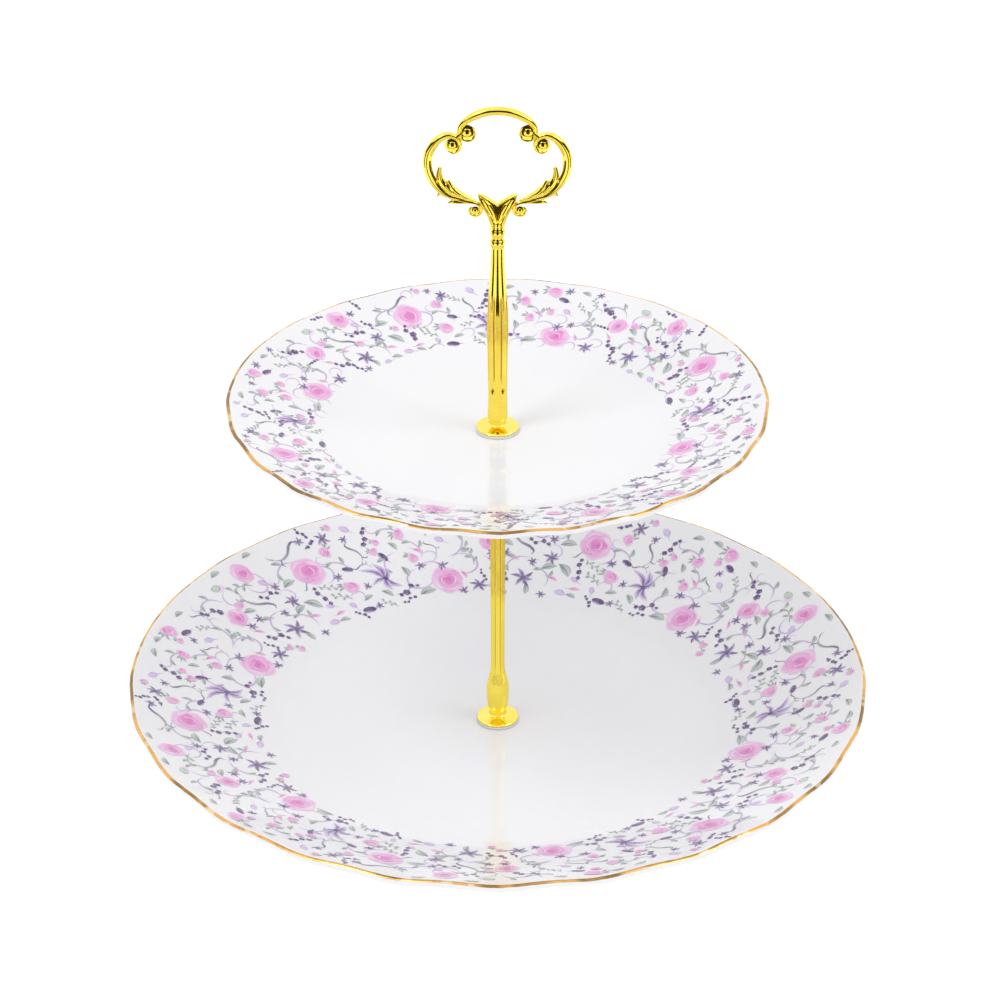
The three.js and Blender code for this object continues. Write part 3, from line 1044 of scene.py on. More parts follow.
@dataclass
class Plate:
    """A porcelain plate: flat well, curved verge, flared rim with a waved lip, and a foot ring."""

    node: str
    body: str
    well_radius: float
    wall: float
    lip_wall: float
    foot_radius: float
    foot_width: float
    foot_height: float
    hole: float = 3.0
    hole_edge: float = 0.5  # how round the hole's edges are
    lip_wave: float = 0.5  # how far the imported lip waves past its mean
    verge_width: float = 7.0
    verge_rise: float = 3.2
    wave: float = 0.2
    droop: float = 0.27
    segments: int = 480

    def __post_init__(self) -> None:
        """Reads the plate's place and radius from the frame, and works out its top curve."""
        low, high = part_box(self.node)
        self.base = low.z / MM
        self.rim_radius = high.x / MM - self.lip_wave
        self.well = self.base + self.foot_height + self.wall
        self.rim_rise = high.z / MM - self.lip_wave - self.well
        verge = self.well_radius + self.verge_width
        top = self.verge_rise
        nose = self.lip_wall / 2
        self.nose_place = (self.rim_radius - nose, self.well + self.rim_rise - nose)
        slope = math.atan2(self.rim_rise - self.verge_rise, self.rim_radius - verge)
        self.slope = slope
        crest = (self.nose_place[0] - nose * math.sin(slope), self.nose_place[1] + nose * math.cos(slope))
        middle = ((verge + self.rim_radius) / 2, self.well + top + (self.rim_rise - top) * 0.46)
        controls = [(self.well_radius - 16, self.well), (self.well_radius - 9, self.well + 0.06),
                    (self.well_radius - 2, self.well + top * 0.2),
                    (self.well_radius + self.verge_width * 0.5, self.well + top * 0.6),
                    (verge + 1, self.well + top), middle, crest]
        self.top_curve = smooth_path(controls, 60)

    def height(self, radius: float) -> float:
        """Height of the top surface before the wave.

        Args:
            radius: Distance from the axis.

        Returns:
            The height.
        """
        if radius <= self.top_curve[0, 0]:
            return self.well
        return float(np.interp(radius, self.top_curve[:, 0], self.top_curve[:, 1]))

    def waved(self, radius: float, turn: float, z: float) -> tuple[float, float, float]:
        """Moves a point of the plain plate by the rim's wave.

        Args:
            radius: Distance from the axis.
            turn: Angle about the axis.
            z: Height.

        Returns:
            The point's x, y and z.
        """
        verge = self.well_radius + self.verge_width
        share = max(0.0, (radius - verge) / (self.rim_radius - verge)) ** 2
        lobe = share * math.cos(RIM_WAVES * turn)
        reach = radius + self.wave * lobe
        return reach * math.cos(turn), reach * math.sin(turn), z - self.droop * lobe

    def on_top(self, radius: float, turn: float, lift: float) -> tuple[float, float, float]:
        """A point a little above the top surface.

        Args:
            radius: Distance from the axis.
            turn: Angle about the axis.
            lift: How far above.

        Returns:
            The point.
        """
        ahead = (self.height(radius + 0.2) - self.height(radius - 0.2)) / 0.4
        scale = lift / math.hypot(1.0, ahead)
        return self.waved(radius - ahead * scale, turn, self.height(radius) + scale)

    def section(self) -> list[tuple[float, float, float, float]]:
        """The plate's section once round.

        Returns:
            Points of radius, height, distance in millimetres from the lip's nose (above it is positive), and
            how bare of glaze the place is.
        """
        made: list[tuple[float, float, float, float]] = []
        far = FAR_FROM_LIP
        for r in np.linspace(self.hole + self.hole_edge, self.well_radius - 17, 12):
            made.append((float(r), self.well, far, 0.0))
        nose, (cx, cz) = self.lip_wall / 2, self.nose_place
        crest = self.top_curve[-1]
        quarter = nose * math.pi / 2
        for r, z in self.top_curve:
            away = math.hypot(r - crest[0], z - crest[1])
            made.append((float(r), float(z), quarter + away, 0.0))
        for a in np.linspace(math.pi / 2, -math.pi / 2, 15)[1:]:
            bend = a + self.slope
            made.append((cx + nose * math.cos(bend), cz + nose * math.sin(bend), nose * a, 0.0))
        foot_outer = self.foot_radius + self.foot_width / 2
        foot_inner = self.foot_radius - self.foot_width / 2
        ground = self.base
        last = made[-1]
        under = smooth_path([(last[0], last[1]), ((last[0] + foot_outer) / 2 + 1, (last[1] + self.well) / 2 - 0.9),
                             (foot_outer + 6, ground + self.foot_height + 0.9),
                             (foot_outer + 1.2, ground + self.foot_height - 0.6), (foot_outer, ground + 1.2)], 34)
        made += [(float(r), float(z), -far, 0.0) for r, z in under[1:]]
        arc = 0.7
        for a in np.linspace(0.0, -math.pi / 2, 6):
            made.append((foot_outer - arc + arc * math.cos(a), ground + arc + arc * math.sin(a), -far,
                         eased(-a / 1.2)))
        for a in np.linspace(-math.pi / 2, -math.pi, 6):
            made.append((foot_inner + arc + arc * math.cos(a), ground + arc + arc * math.sin(a), -far,
                         eased((a + math.pi) / 1.2)))
        hollow = ground + self.foot_height
        inside = smooth_path([(foot_inner, ground + arc + 0.3), (foot_inner - 0.4, hollow - 0.9),
                              (foot_inner - 2, hollow), (foot_inner - 5, hollow)], 12)
        made += [(float(r), float(z), -far, 0.0) for r, z in inside]
        for r in np.linspace(foot_inner - 6, self.hole + self.hole_edge, 14):
            made.append((float(r), hollow, -far, 0.0))
        edge = self.hole_edge
        for a in np.linspace(0.0, math.pi / 2, 4)[1:]:
            made.append((self.hole + edge - edge * math.sin(a), hollow + edge - edge * math.cos(a), -far, 0.4))
        for a in np.linspace(0.0, math.pi / 2, 4)[:-1]:
            made.append((self.hole + edge - edge * math.cos(a), self.well - edge + edge * math.sin(a), far, 0.2))
        return made

    def build(self, finishes: Finishes) -> bpy.types.Object:
        """Makes the porcelain and seats it on its body.

        Args:
            finishes: The materials.

        Returns:
            The plate.
        """
        section = self.section()
        draft = MeshDraft()
        rows = []
        for k in range(self.segments):
            turn = TAU * k / self.segments
            rows.append([settled(self.waved(r, turn, z), self) for r, z, _, _ in section])
        draft.grid(rows, loop_rows=True, loop_columns=True)
        draft.values = {key: [p[k] for p in section] * self.segments for key, k in (("lip", 2), ("bare", 3))}
        piece = draft.object(f"{self.node}_look")
        turn_outward(piece)
        piece.data.materials.append(finishes.porcelain)
        seat(piece, self.body, "porcelain", self.node)
        return piece


def settled(place: Sequence[float], plate: Plate) -> tuple[float, float, float]:
    """Adds the slow unevenness that firing leaves in a rim.

    Args:
        place: A point of the plate, in millimetres.
        plate: The plate.

    Returns:
        The point as fired.
    """
    x, y, z = place
    radius, turn = math.hypot(x, y), math.atan2(y, x)
    share = max(0.0, (radius - plate.well_radius) / (plate.rim_radius - plate.well_radius)) ** 2
    sag = SLOW_SAG * math.sin(2 * turn + 0.7) + QUICK_SAG * math.sin(5 * turn + plate.rim_radius)
    return x, y, z + share * sag


# ---- flower print ----


class Ink(Enum):
    """The print's colours."""

    ROSE_DEEP = (224, 108, 192)
    ROSE = (238, 148, 214)
    ROSE_PALE = (245, 190, 234)
    ROSE_MIST = (249, 222, 244)
    VIOLET_DARK = (84, 54, 116)
    VIOLET = (148, 108, 190)
    VIOLET_SOFT = (190, 160, 220)
    LAVENDER = (220, 197, 240)
    LEAF_DARK = (104, 112, 120)
    LEAF = (176, 186, 183)
    LEAF_PALE = (208, 220, 212)
    BUD_GREEN = (182, 214, 188)
    WHITE = (247, 247, 250)

    @property
    def colour(self) -> Colour:
        """The ink's linear colour."""
        red, green, blue = linear(self.value)
        return red * FIRED, green * FIRED, blue * FIRED


class Motif(Enum):
    """The pictures that the print is made of."""

    ROSE = "rose"
    ROSEBUD = "rosebud"
    PETAL = "petal"
    GREEN_BUD = "green_bud"
    BERRY = "berry"
    IRIS = "iris"
    STAR = "star"
    TULIP = "tulip"
    SEED = "seed"
    LEAF = "leaf"
    SPRIG = "sprig"
    HOOK = "hook"
    LOOP = "loop"
    VINE = "vine"


@dataclass(frozen=True)
class Spot:
    """Where one picture of the print goes, in its own sector.

    Attributes:
        motif: What is drawn.
        along: Share of the way round the sector.
        out: Share of the way from the verge to the lip.
        size: Length across the picture, in millimetres.
        turn: Its turn in degrees, from the direction round the plate towards the lip.
    """

    motif: Motif
    along: float
    out: float
    size: float
    turn: float = 0.0


@dataclass
class Brush:
    """Draws one picture of the print on a plate, each stroke a thin film with feathered edges."""

    plate: Plate
    draft: MeshDraft
    radius: float
    turn: float
    size: float
    tilt: float
    layer: int = 0

    LIFT = 0.05
    STEP = 0.014
    FILM = 0.02

    def put(self, x: float, y: float, lift: float, ink: Colour) -> int:
        """Adds one vertex of a stroke.

        Args:
            x: Distance along the picture, as a share of its size.
            y: Distance across it.
            lift: Height over the glaze.
            ink: Its colour.

        Returns:
            The vertex's number.
        """
        cos, sin = math.cos(self.tilt), math.sin(self.tilt)
        along = (x * cos - y * sin) * self.size
        out = (x * sin + y * cos) * self.size
        radius = self.radius + out
        self.draft.inks.append(ink)
        return self.draft.add(self.plate.on_top(radius, self.turn + along / self.radius, lift))

    def next_lift(self) -> float:
        """Height of the next layer of ink."""
        self.layer += 1
        return self.LIFT + self.STEP * self.layer

    def stroke(self, path: Sequence[Point2], widths: Sequence[float], start: Ink, end: Ink,
               edge: Ink = Ink.WHITE, feather: float = 0.6) -> None:
        """Draws a brush stroke.

        Args:
            path: Points along its middle, as shares of the picture's size.
            widths: Half widths at even steps along it. It ends in points where they are 0.
            start: Colour where it starts.
            end: Colour where it ends.
            edge: What its edges fade to.
            feather: How far they fade, 0 to 1.
        """
        length = float(np.sum(np.linalg.norm(np.diff(np.array(path), axis=0), axis=1))) * self.size
        steps = int(min(max(length / 0.9, 5), 24))
        middle = smooth_path(path, steps)
        ahead = np.gradient(middle, axis=0)
        ahead /= np.linalg.norm(ahead, axis=1)[:, None] + 1e-12
        lift = self.next_lift()
        rows: list[list[int]] = []
        for i in range(steps + 1):
            t = i / steps
            half = max(float(np.interp(t, np.linspace(0, 1, len(widths)), widths)), 0.004)
            core = mixed(start.colour, end.colour, eased(t))
            faded = mixed(core, edge.colour, feather)
            side = np.array([-ahead[i, 1], ahead[i, 0]])
            row = []
            for across, ink, up in ((-1.0, faded, lift - 0.005), (-0.45, core, lift), (0.45, core, lift),
                                    (1.0, faded, lift - 0.005), (0.0, core, lift - self.FILM)):
                x, y = middle[i] + side * half * across
                row.append(self.put(float(x), float(y), up, ink))
            rows.append(row)
        for here, there in zip(rows, rows[1:]):
            for j in range(5):
                k = (j + 1) % 5
                self.draft.faces.append((here[j], there[j], there[k], here[k]))
        self.draft.faces.append(tuple(rows[0]))
        self.draft.faces.append(tuple(reversed(rows[-1])))

    def blob(self, centre: Point2, reach: Point2, core: Ink, rim: Ink, edge: Ink = Ink.WHITE,
             feather: float = 0.6, lobes: int = 0, bulge: float = 0.0, tilt: float = 0.0) -> None:
        """Draws a filled patch.

        Args:
            centre: Its middle, as shares of the picture's size.
            reach: Its half lengths along and across.
            core: Colour in its middle.
            rim: Colour near its edge.
            edge: What its edge fades to.
            feather: How far it fades, 0 to 1.
            lobes: How many lobes its outline has.
            bulge: How far they stand out.
            tilt: Its own turn in degrees.
        """
        wide = max(reach) * self.size
        sides = 32 if wide > 3 else 16 if wide > 1.2 else 9
        shares = (0.28, 0.55, 0.84) if wide > 3 else (0.45, 0.8)
        lift = self.next_lift()
        cos, sin = math.cos(math.radians(tilt)), math.sin(math.radians(tilt))
        faded = mixed(rim.colour, edge.colour, feather)
        rings = []
        bands = [(share, mixed(core.colour, rim.colour, share), lift) for share in shares]
        bands += [(1.0, faded, lift - 0.005)]
        bands += [(share, rim.colour, lift - self.FILM) for share in reversed(shares)]
        for share, ink, up in bands:
            ring = []
            for k in range(sides):
                a = TAU * k / sides
                swell = share * (1 + bulge * math.cos(lobes * a))
                dx, dy = reach[0] * swell * math.cos(a), reach[1] * swell * math.sin(a)
                ring.append(self.put(centre[0] + dx * cos - dy * sin, centre[1] + dx * sin + dy * cos, up, ink))
            rings.append(ring)
        top = self.put(centre[0], centre[1], lift, core.colour)
        bottom = self.put(centre[0], centre[1], lift - self.FILM, rim.colour)
        for k in range(sides):
            j = (k + 1) % sides
            self.draft.faces.append((top, rings[0][k], rings[0][j]))
            self.draft.faces.append((bottom, rings[-1][j], rings[-1][k]))
            for inner, outer in zip(rings, rings[1:]):
                self.draft.faces.append((inner[k], outer[k], outer[j], inner[j]))

    def crescent(self, radius: float, middle: float, spread: float, width: float, start: Ink, end: Ink,
                 edge: Ink, squash: float = 0.86, feather: float = 0.6) -> None:
        """Draws a curved petal round the picture's middle.

        Args:
            radius: Distance of the petal from the middle.
            middle: Its direction in degrees.
            spread: How many degrees it covers.
            width: Its half width.
            start: Colour where it starts.
            end: Colour where it ends.
            edge: What its edges fade to.
            squash: How much the flower is flattened.
            feather: How far the edges fade.
        """
        path = []
        for k in range(7):
            a = math.radians(middle + spread * (k / 6 - 0.5))
            reach = radius * (1 + 0.06 * math.sin(k * 1.9 + middle))
            path.append((reach * math.cos(a), reach * math.sin(a) * squash))
        self.stroke(path, [0.0, 0.7 * width, width, 0.9 * width, 0.6 * width, 0.0], start, end, edge, feather)


class Painter:
    """Knows how each picture of the print is drawn."""

    def __init__(self, dice: random.Random) -> None:
        """Takes the seeded source of small differences between like pictures."""
        self.dice = dice

    def draw(self, brush: Brush, motif: Motif) -> None:
        """Draws a picture with the method of its name."""
        method: Callable[[Brush], None] = getattr(self, motif.value)
        method(brush)

    def rose(self, brush: Brush) -> None:
        """An open rose: soft petals one over the other, with a deeper heart off its middle.

        Args:
            brush: The brush.
        """
        lean = self.dice.uniform(0, 360)
        brush.blob((0, 0), (0.5, 0.43), Ink.ROSE, Ink.ROSE_PALE, Ink.WHITE, feather=0.55, lobes=5, bulge=0.05,
                   tilt=self.dice.uniform(0, 70))
        brush.crescent(0.36, lean, 150, 0.1, Ink.ROSE_MIST, Ink.ROSE_PALE, Ink.ROSE_PALE, feather=0.9)
        brush.crescent(0.4, lean + 150, 100, 0.06, Ink.ROSE, Ink.ROSE_PALE, Ink.ROSE_PALE, feather=0.9)
        brush.crescent(0.41, lean + 255, 90, 0.05, Ink.ROSE_MIST, Ink.ROSE_PALE, Ink.ROSE_PALE, feather=0.9)
        brush.blob((-0.05, 0.03), (0.27, 0.21), Ink.ROSE_DEEP, Ink.ROSE, Ink.ROSE_PALE, feather=0.7, lobes=3,
                   bulge=0.1, tilt=lean)
        brush.crescent(0.25, lean + 200, 160, 0.028, Ink.ROSE_MIST, Ink.ROSE_PALE, Ink.ROSE)
        brush.crescent(0.17, lean + 20, 170, 0.026, Ink.ROSE_MIST, Ink.ROSE_PALE, Ink.ROSE)
        brush.crescent(0.1, lean + 210, 200, 0.035, Ink.ROSE_DEEP, Ink.ROSE, Ink.ROSE)

    def rosebud(self, brush: Brush) -> None:
        """A half-open bud: soft pink with a pale fold, and three thin sepals on one side.

        Args:
            brush: The brush.
        """
        for degrees in (-38, -4, 30):
            self.blade(brush, (0.2, 0.0), 0.42, degrees + self.dice.uniform(-8, 8), 0.05)
        brush.blob((0, 0), (0.36, 0.29), Ink.ROSE, Ink.ROSE_PALE, feather=0.6, lobes=3, bulge=0.1,
                   tilt=self.dice.uniform(0, 120))
        brush.crescent(0.22, self.dice.uniform(40, 140), 130, 0.06, Ink.ROSE_DEEP, Ink.ROSE, Ink.ROSE_PALE)
        brush.crescent(0.16, self.dice.uniform(200, 320), 120, 0.05, Ink.ROSE_MIST, Ink.ROSE_PALE, Ink.ROSE)

    def petal(self, brush: Brush) -> None:
        """One loose petal and a short stalk."""
        brush.stroke([(-0.45, -0.06), (0.0, 0.06), (0.45, 0.02)], [0, 0.14, 0.17, 0.1, 0], Ink.ROSE_PALE,
                     Ink.ROSE_DEEP)
        brush.stroke([(0.4, 0.02), (0.62, 0.1), (0.8, 0.08)], [0.02, 0.02, 0], Ink.LEAF, Ink.LEAF_PALE)

    def green_bud(self, brush: Brush) -> None:
        """A pale green bud with a pink breath behind it.

        Args:
            brush: The brush.
        """
        brush.blob((-0.22, -0.18), (0.4, 0.34), Ink.ROSE_PALE, Ink.ROSE_MIST, feather=0.8)
        brush.blob((0.05, 0.05), (0.4, 0.3), Ink.BUD_GREEN, Ink.LEAF_PALE, Ink.LEAF_DARK, feather=0.45)
        brush.stroke([(-0.3, 0.0), (-0.05, -0.22), (0.3, -0.16)], [0, 0.05, 0.03, 0], Ink.LEAF_DARK, Ink.LEAF)
        brush.stroke([(0.1, 0.3), (0.35, 0.28), (0.48, 0.05)], [0, 0.05, 0], Ink.LEAF, Ink.LEAF_DARK)
        brush.stroke([(-0.05, 0.16), (0.1, 0.12), (0.25, 0.02)], [0, 0.05, 0], Ink.WHITE, Ink.BUD_GREEN,
                     Ink.BUD_GREEN)

    def berry(self, brush: Brush) -> None:
        """Two or three dark berries on a thread.

        Args:
            brush: The brush.
        """
        brush.stroke([(-0.7, -0.12), (-0.2, 0.08), (0.4, -0.04), (0.8, 0.1)], [0.015, 0.02, 0.02, 0],
                     Ink.VIOLET, Ink.LEAF_DARK)
        for x, y, reach in ((-0.5, 0.0, 0.17), (-0.13, 0.08, 0.2), (0.3, -0.04, 0.17), (0.62, 0.07, 0.12)):
            reach *= self.dice.uniform(0.75, 1.15)
            x, y = x + self.dice.uniform(-0.05, 0.05), y + self.dice.uniform(-0.08, 0.08)
            brush.blob((x, y), (reach, reach * 0.9), Ink.VIOLET_DARK, Ink.VIOLET_DARK, Ink.VIOLET_SOFT,
                       feather=0.7, lobes=5, bulge=0.14, tilt=self.dice.uniform(0, 90))
            brush.blob((x - reach * 0.3, y + reach * 0.3), (reach * 0.25, reach * 0.18), Ink.LAVENDER, Ink.VIOLET,
                       Ink.VIOLET_DARK)

    def iris(self, brush: Brush) -> None:
        """A drooping iris: long violet petals from one point, with dark veins.

        Args:
            brush: The brush.
        """
        petals = ((12, 0.92, 0.1), (48, 0.74, 0.12), (84, 0.5, 0.09), (196, 0.62, 0.1), (238, 0.5, 0.11),
                  (318, 0.55, 0.08))
        for angle, reach, width in petals:
            a = math.radians(angle)
            bend = math.radians(angle + 16)
            tip = (reach * math.cos(a), reach * math.sin(a))
            mid = (0.5 * reach * math.cos(bend), 0.5 * reach * math.sin(bend))
            brush.stroke([(0, 0), mid, tip], [0.02, width, width * 0.8, 0], Ink.VIOLET, Ink.LAVENDER)
            brush.stroke([(0, 0), (mid[0] * 0.9, mid[1] * 0.9), (tip[0] * 0.86, tip[1] * 0.86)],
                         [0.03, 0.026, 0], Ink.VIOLET_DARK, Ink.VIOLET, Ink.VIOLET_SOFT)
        brush.blob((0.0, 0.0), (0.1, 0.08), Ink.VIOLET_DARK, Ink.VIOLET_DARK, Ink.VIOLET)

    def star(self, brush: Brush) -> None:
        """A small dark violet flower with ragged petals.

        Args:
            brush: The brush.
        """
        for k in range(6):
            a = math.radians(60 * k + self.dice.uniform(-12, 12))
            reach = self.dice.uniform(0.38, 0.55)
            tip = (reach * math.cos(a), reach * math.sin(a))
            side = (0.5 * tip[0] - 0.08 * tip[1], 0.5 * tip[1] + 0.08 * tip[0])
            ends = (Ink.VIOLET_DARK, Ink.VIOLET_SOFT) if k % 2 else (Ink.VIOLET, Ink.VIOLET_DARK)
            brush.stroke([(0, 0), side, tip], [0.05, 0.1, 0.07, 0], *ends)
        brush.blob((0, 0), (0.12, 0.1), Ink.LEAF_DARK, Ink.VIOLET_DARK, Ink.VIOLET)

    def tulip(self, brush: Brush) -> None:
        """A pale lavender cup with darker sides.

        Args:
            brush: The brush.
        """
        brush.blob((0, 0), (0.42, 0.26), Ink.LAVENDER, Ink.LAVENDER, feather=0.75, lobes=2, bulge=0.06)
        brush.stroke([(-0.4, 0.0), (-0.1, 0.22), (0.36, 0.16)], [0, 0.06, 0], Ink.VIOLET, Ink.LAVENDER,
                     Ink.LAVENDER)
        brush.stroke([(-0.4, 0.0), (-0.05, -0.2), (0.36, -0.12)], [0, 0.05, 0], Ink.VIOLET_SOFT, Ink.LAVENDER,
                     Ink.LAVENDER)
        brush.stroke([(-0.4, 0.0), (-0.75, -0.06), (-1.0, 0.06)], [0.02, 0.02, 0], Ink.LEAF, Ink.LEAF_PALE)

    def seed(self, brush: Brush) -> None:
        """A long dark bud with a pale violet side.

        Args:
            brush: The brush.
        """
        brush.blob((0, 0), (0.5, 0.26), Ink.VIOLET_DARK, Ink.VIOLET_DARK, Ink.VIOLET_SOFT, feather=0.5)
        brush.stroke([(-0.4, -0.12), (0.0, -0.2), (0.42, -0.08)], [0, 0.06, 0], Ink.VIOLET, Ink.LAVENDER)
        brush.stroke([(-0.45, 0.0), (-0.66, 0.05), (-0.85, 0.0)], [0.03, 0.02, 0], Ink.LEAF_DARK, Ink.LEAF)

    def blade(self, brush: Brush, root: Point2, length: float, degrees: float, width: float) -> None:
        """One leaf from a root: pale body, grey edge, dark rib and tip.

        Args:
            brush: The brush.
            root: Where the leaf starts.
            length: Its length.
            degrees: Its direction.
            width: Its half width.
        """
        a, bend = math.radians(degrees), math.radians(degrees + 14)
        tip = (root[0] + length * math.cos(a), root[1] + length * math.sin(a))
        mid = (root[0] + 0.52 * length * math.cos(bend), root[1] + 0.52 * length * math.sin(bend))
        brush.stroke([root, mid, tip], [0.01, width * 0.95, width * 1.2, width * 0.8, 0], Ink.LEAF_PALE, Ink.LEAF,
                     Ink.LEAF_DARK, feather=0.4)
        rib = (mid[0] * 0.97 + root[0] * 0.03, mid[1] * 0.97 + root[1] * 0.03 - width * 0.25)
        brush.stroke([root, rib, tip], [0.012, width * 0.3, width * 0.34, 0], Ink.LEAF, Ink.LEAF_DARK, Ink.LEAF)

    def leaf(self, brush: Brush) -> None:
        """A single leaf."""
        self.blade(brush, (-0.5, 0.0), 1.0, self.dice.uniform(-6, 6), 0.2)

    def sprig(self, brush: Brush) -> None:
        """A twig with small leaves on both sides.

        Args:
            brush: The brush.
        """
        brush.stroke([(-0.5, -0.1), (-0.1, 0.04), (0.5, 0.0)], [0.012, 0.02, 0.012, 0], Ink.LEAF_DARK, Ink.LEAF)
        for k, side in enumerate((1, -1, 1, -1, 1)):
            root = (-0.36 + 0.19 * k, -0.06 + 0.05 * min(k, 2))
            self.blade(brush, root, self.dice.uniform(0.22, 0.3), side * self.dice.uniform(38, 60), 0.055)

    def hook(self, brush: Brush) -> None:
        """A long stroke that swells and ends in a hook.

        Args:
            brush: The brush.
        """
        brush.stroke([(-0.52, 0.02), (-0.3, 0.16), (0.0, 0.12), (0.28, -0.08), (0.46, -0.12), (0.52, 0.0)],
                     [0.0, 0.03, 0.045, 0.04, 0.05, 0.04, 0.0], Ink.LEAF, Ink.VIOLET_DARK)
        brush.stroke([(-0.3, 0.15), (-0.42, 0.3), (-0.36, 0.42)], [0.02, 0.03, 0], Ink.VIOLET, Ink.LEAF_DARK)
        brush.stroke([(-0.5, 0.02), (-0.62, -0.1), (-0.6, -0.22)], [0.015, 0.02, 0], Ink.LEAF_DARK, Ink.LEAF)

    def loop(self, brush: Brush) -> None:
        """A hairline tendril that curls round."""
        path = [(0.5 * math.cos(a) * (1 - 0.1 * a), 0.4 * math.sin(a)) for a in np.linspace(-0.6, 4.4, 9)]
        brush.stroke(path, [0.0, 0.03, 0.04, 0.03, 0.0], Ink.LAVENDER, Ink.VIOLET_SOFT)

    def vine(self, brush: Brush) -> None:
        """A long curling stem with two leaflets and a curled end.

        Args:
            brush: The brush.
        """
        brush.stroke([(-0.5, -0.1), (-0.25, 0.08), (0.05, 0.06), (0.3, -0.1), (0.46, -0.06), (0.47, 0.08),
                      (0.37, 0.1)], [0.0, 0.015, 0.022, 0.024, 0.02, 0.015, 0.0], Ink.VIOLET_SOFT,
                     Ink.LAVENDER)
        self.blade(brush, (-0.2, 0.09), 0.26, 50, 0.05)
        self.blade(brush, (0.1, 0.04), 0.24, -65, 0.045)


M = Motif
GREENERY = (M.VINE, M.LOOP, M.LEAF, M.SPRIG, M.HOOK)
SECTOR_SPOTS = tuple(Spot(*row) for row in (
    (M.VINE, 0.07, 0.6, 15, 40), (M.VINE, 0.25, 0.76, 16, -20), (M.VINE, 0.33, 0.2, 14, 60),
    (M.VINE, 0.45, 0.3, 15, -35), (M.VINE, 0.56, 0.9, 15, 15), (M.VINE, 0.63, 0.58, 16, 120),
    (M.VINE, 0.79, 0.62, 14, 60), (M.VINE, 0.9, 0.42, 14, -60), (M.VINE, 0.86, 0.84, 15, 20),
    (M.LOOP, 0.13, 0.52, 11, 30), (M.LOOP, 0.36, 0.74, 11, 120), (M.LOOP, 0.62, 0.3, 12, 60),
    (M.LOOP, 0.81, 0.2, 12, 200),
    (M.ROSE, 0.17, 0.63, 14, 20), (M.LEAF, 0.26, 0.58, 6.5, -8), (M.STAR, 0.055, 0.88, 7.2, 30),
    (M.HOOK, 0.19, 0.93, 13, 170), (M.ROSEBUD, 0.075, 0.74, 7.3, 125), (M.SEED, 0.04, 0.5, 4.6, 20),
    (M.SPRIG, 0.155, 0.4, 7, 200), (M.BERRY, 0.195, 0.32, 7.2, 80), (M.LEAF, 0.25, 0.29, 7.6, 50),
    (M.STAR, 0.305, 0.41, 7.3, 5), (M.LEAF, 0.31, 0.31, 6.4, -14), (M.ROSEBUD, 0.07, 0.3, 9.3, 20),
    (M.SPRIG, 0.13, 0.24, 7.5, 25), (M.LEAF, 0.035, 0.16, 4.6, -15), (M.SEED, 0.065, 0.03, 5.6, 8),
    (M.PETAL, 0.285, 0.19, 5.2, 14), (M.PETAL, 0.185, 0.11, 5, -10), (M.TULIP, 0.24, 0.05, 5.2, 12),
    (M.LEAF, 0.19, 0.035, 4.4, 20), (M.HOOK, 0.41, 0.6, 14, 245), (M.SPRIG, 0.41, 0.79, 10, 8),
    (M.ROSE, 0.365, 0.9, 9.9, 60), (M.GREEN_BUD, 0.475, 0.88, 5, -10), (M.LOOP, 0.47, 0.76, 9, 200),
    (M.BERRY, 0.355, 0.57, 6.7, 12), (M.PETAL, 0.44, 0.39, 4.5, 10), (M.ROSE, 0.525, 0.58, 9.3, 100),
    (M.ROSEBUD, 0.475, 0.65, 5.8, 150), (M.LEAF, 0.468, 0.55, 5.4, 25), (M.BERRY, 0.575, 0.76, 7.4, 28),
    (M.SPRIG, 0.6, 0.43, 10, 62), (M.PETAL, 0.525, 0.36, 4.7, 42), (M.BERRY, 0.49, 0.2, 6.7, 38),
    (M.STAR, 0.4, 0.15, 9.6, 10), (M.LEAF, 0.39, 0.05, 5, 80), (M.TULIP, 0.695, 0.62, 4.8, 32),
    (M.SEED, 0.715, 0.8, 5, 18), (M.ROSEBUD, 0.745, 0.95, 9.3, 8), (M.LEAF, 0.66, 0.93, 4.6, 10),
    (M.SPRIG, 0.655, 0.71, 6, 35), (M.ROSEBUD, 0.82, 0.74, 7.3, 0), (M.LEAF, 0.87, 0.93, 5, -20),
    (M.PETAL, 0.775, 0.53, 5.4, 28), (M.ROSEBUD, 0.8, 0.46, 6.7, 35), (M.LOOP, 0.745, 0.3, 9, 20),
    (M.STAR, 0.705, 0.34, 5.5, 40), (M.ROSE, 0.7, 0.12, 13.4, 0), (M.LEAF, 0.79, 0.06, 7, -8),
    (M.STAR, 0.575, 0.08, 7.3, 10), (M.LEAF, 0.845, 0.33, 5.4, 80), (M.LEAF, 0.853, 0.62, 4.6, 60),
    (M.SEED, 0.9, 0.53, 5, 64), (M.IRIS, 0.93, 0.28, 11.5, 28), (M.LEAF, 0.955, 0.14, 5.2, 40),
    (M.SPRIG, 0.965, 0.02, 6.4, 35), (M.BERRY, 0.935, 0.78, 6.7, 110), (M.TULIP, 0.975, 0.9, 5.2, 40),
    (M.HOOK, 0.985, 0.66, 10, 80), (M.BERRY, 0.87, 0.12, 7.3, 160), (M.PETAL, 0.63, 0.22, 4.7, 60),
    (M.TULIP, 0.335, 0.7, 5, 40), (M.TULIP, 0.115, 0.14, 4.2, 70), (M.LOOP, 0.3, 0.48, 7, 80),
))
SMALL_PICTURES = (
    (M.LEAF, 5.0), (M.ROSEBUD, 5.4), (M.SPRIG, 6.0), (M.BERRY, 4.8), (M.BERRY, 4.4), (M.STAR, 5.0), (M.LOOP, 6.5),
    (M.ROSEBUD, 4.6), (M.TULIP, 4.2), (M.STAR, 4.2), (M.HOOK, 6.5),
)


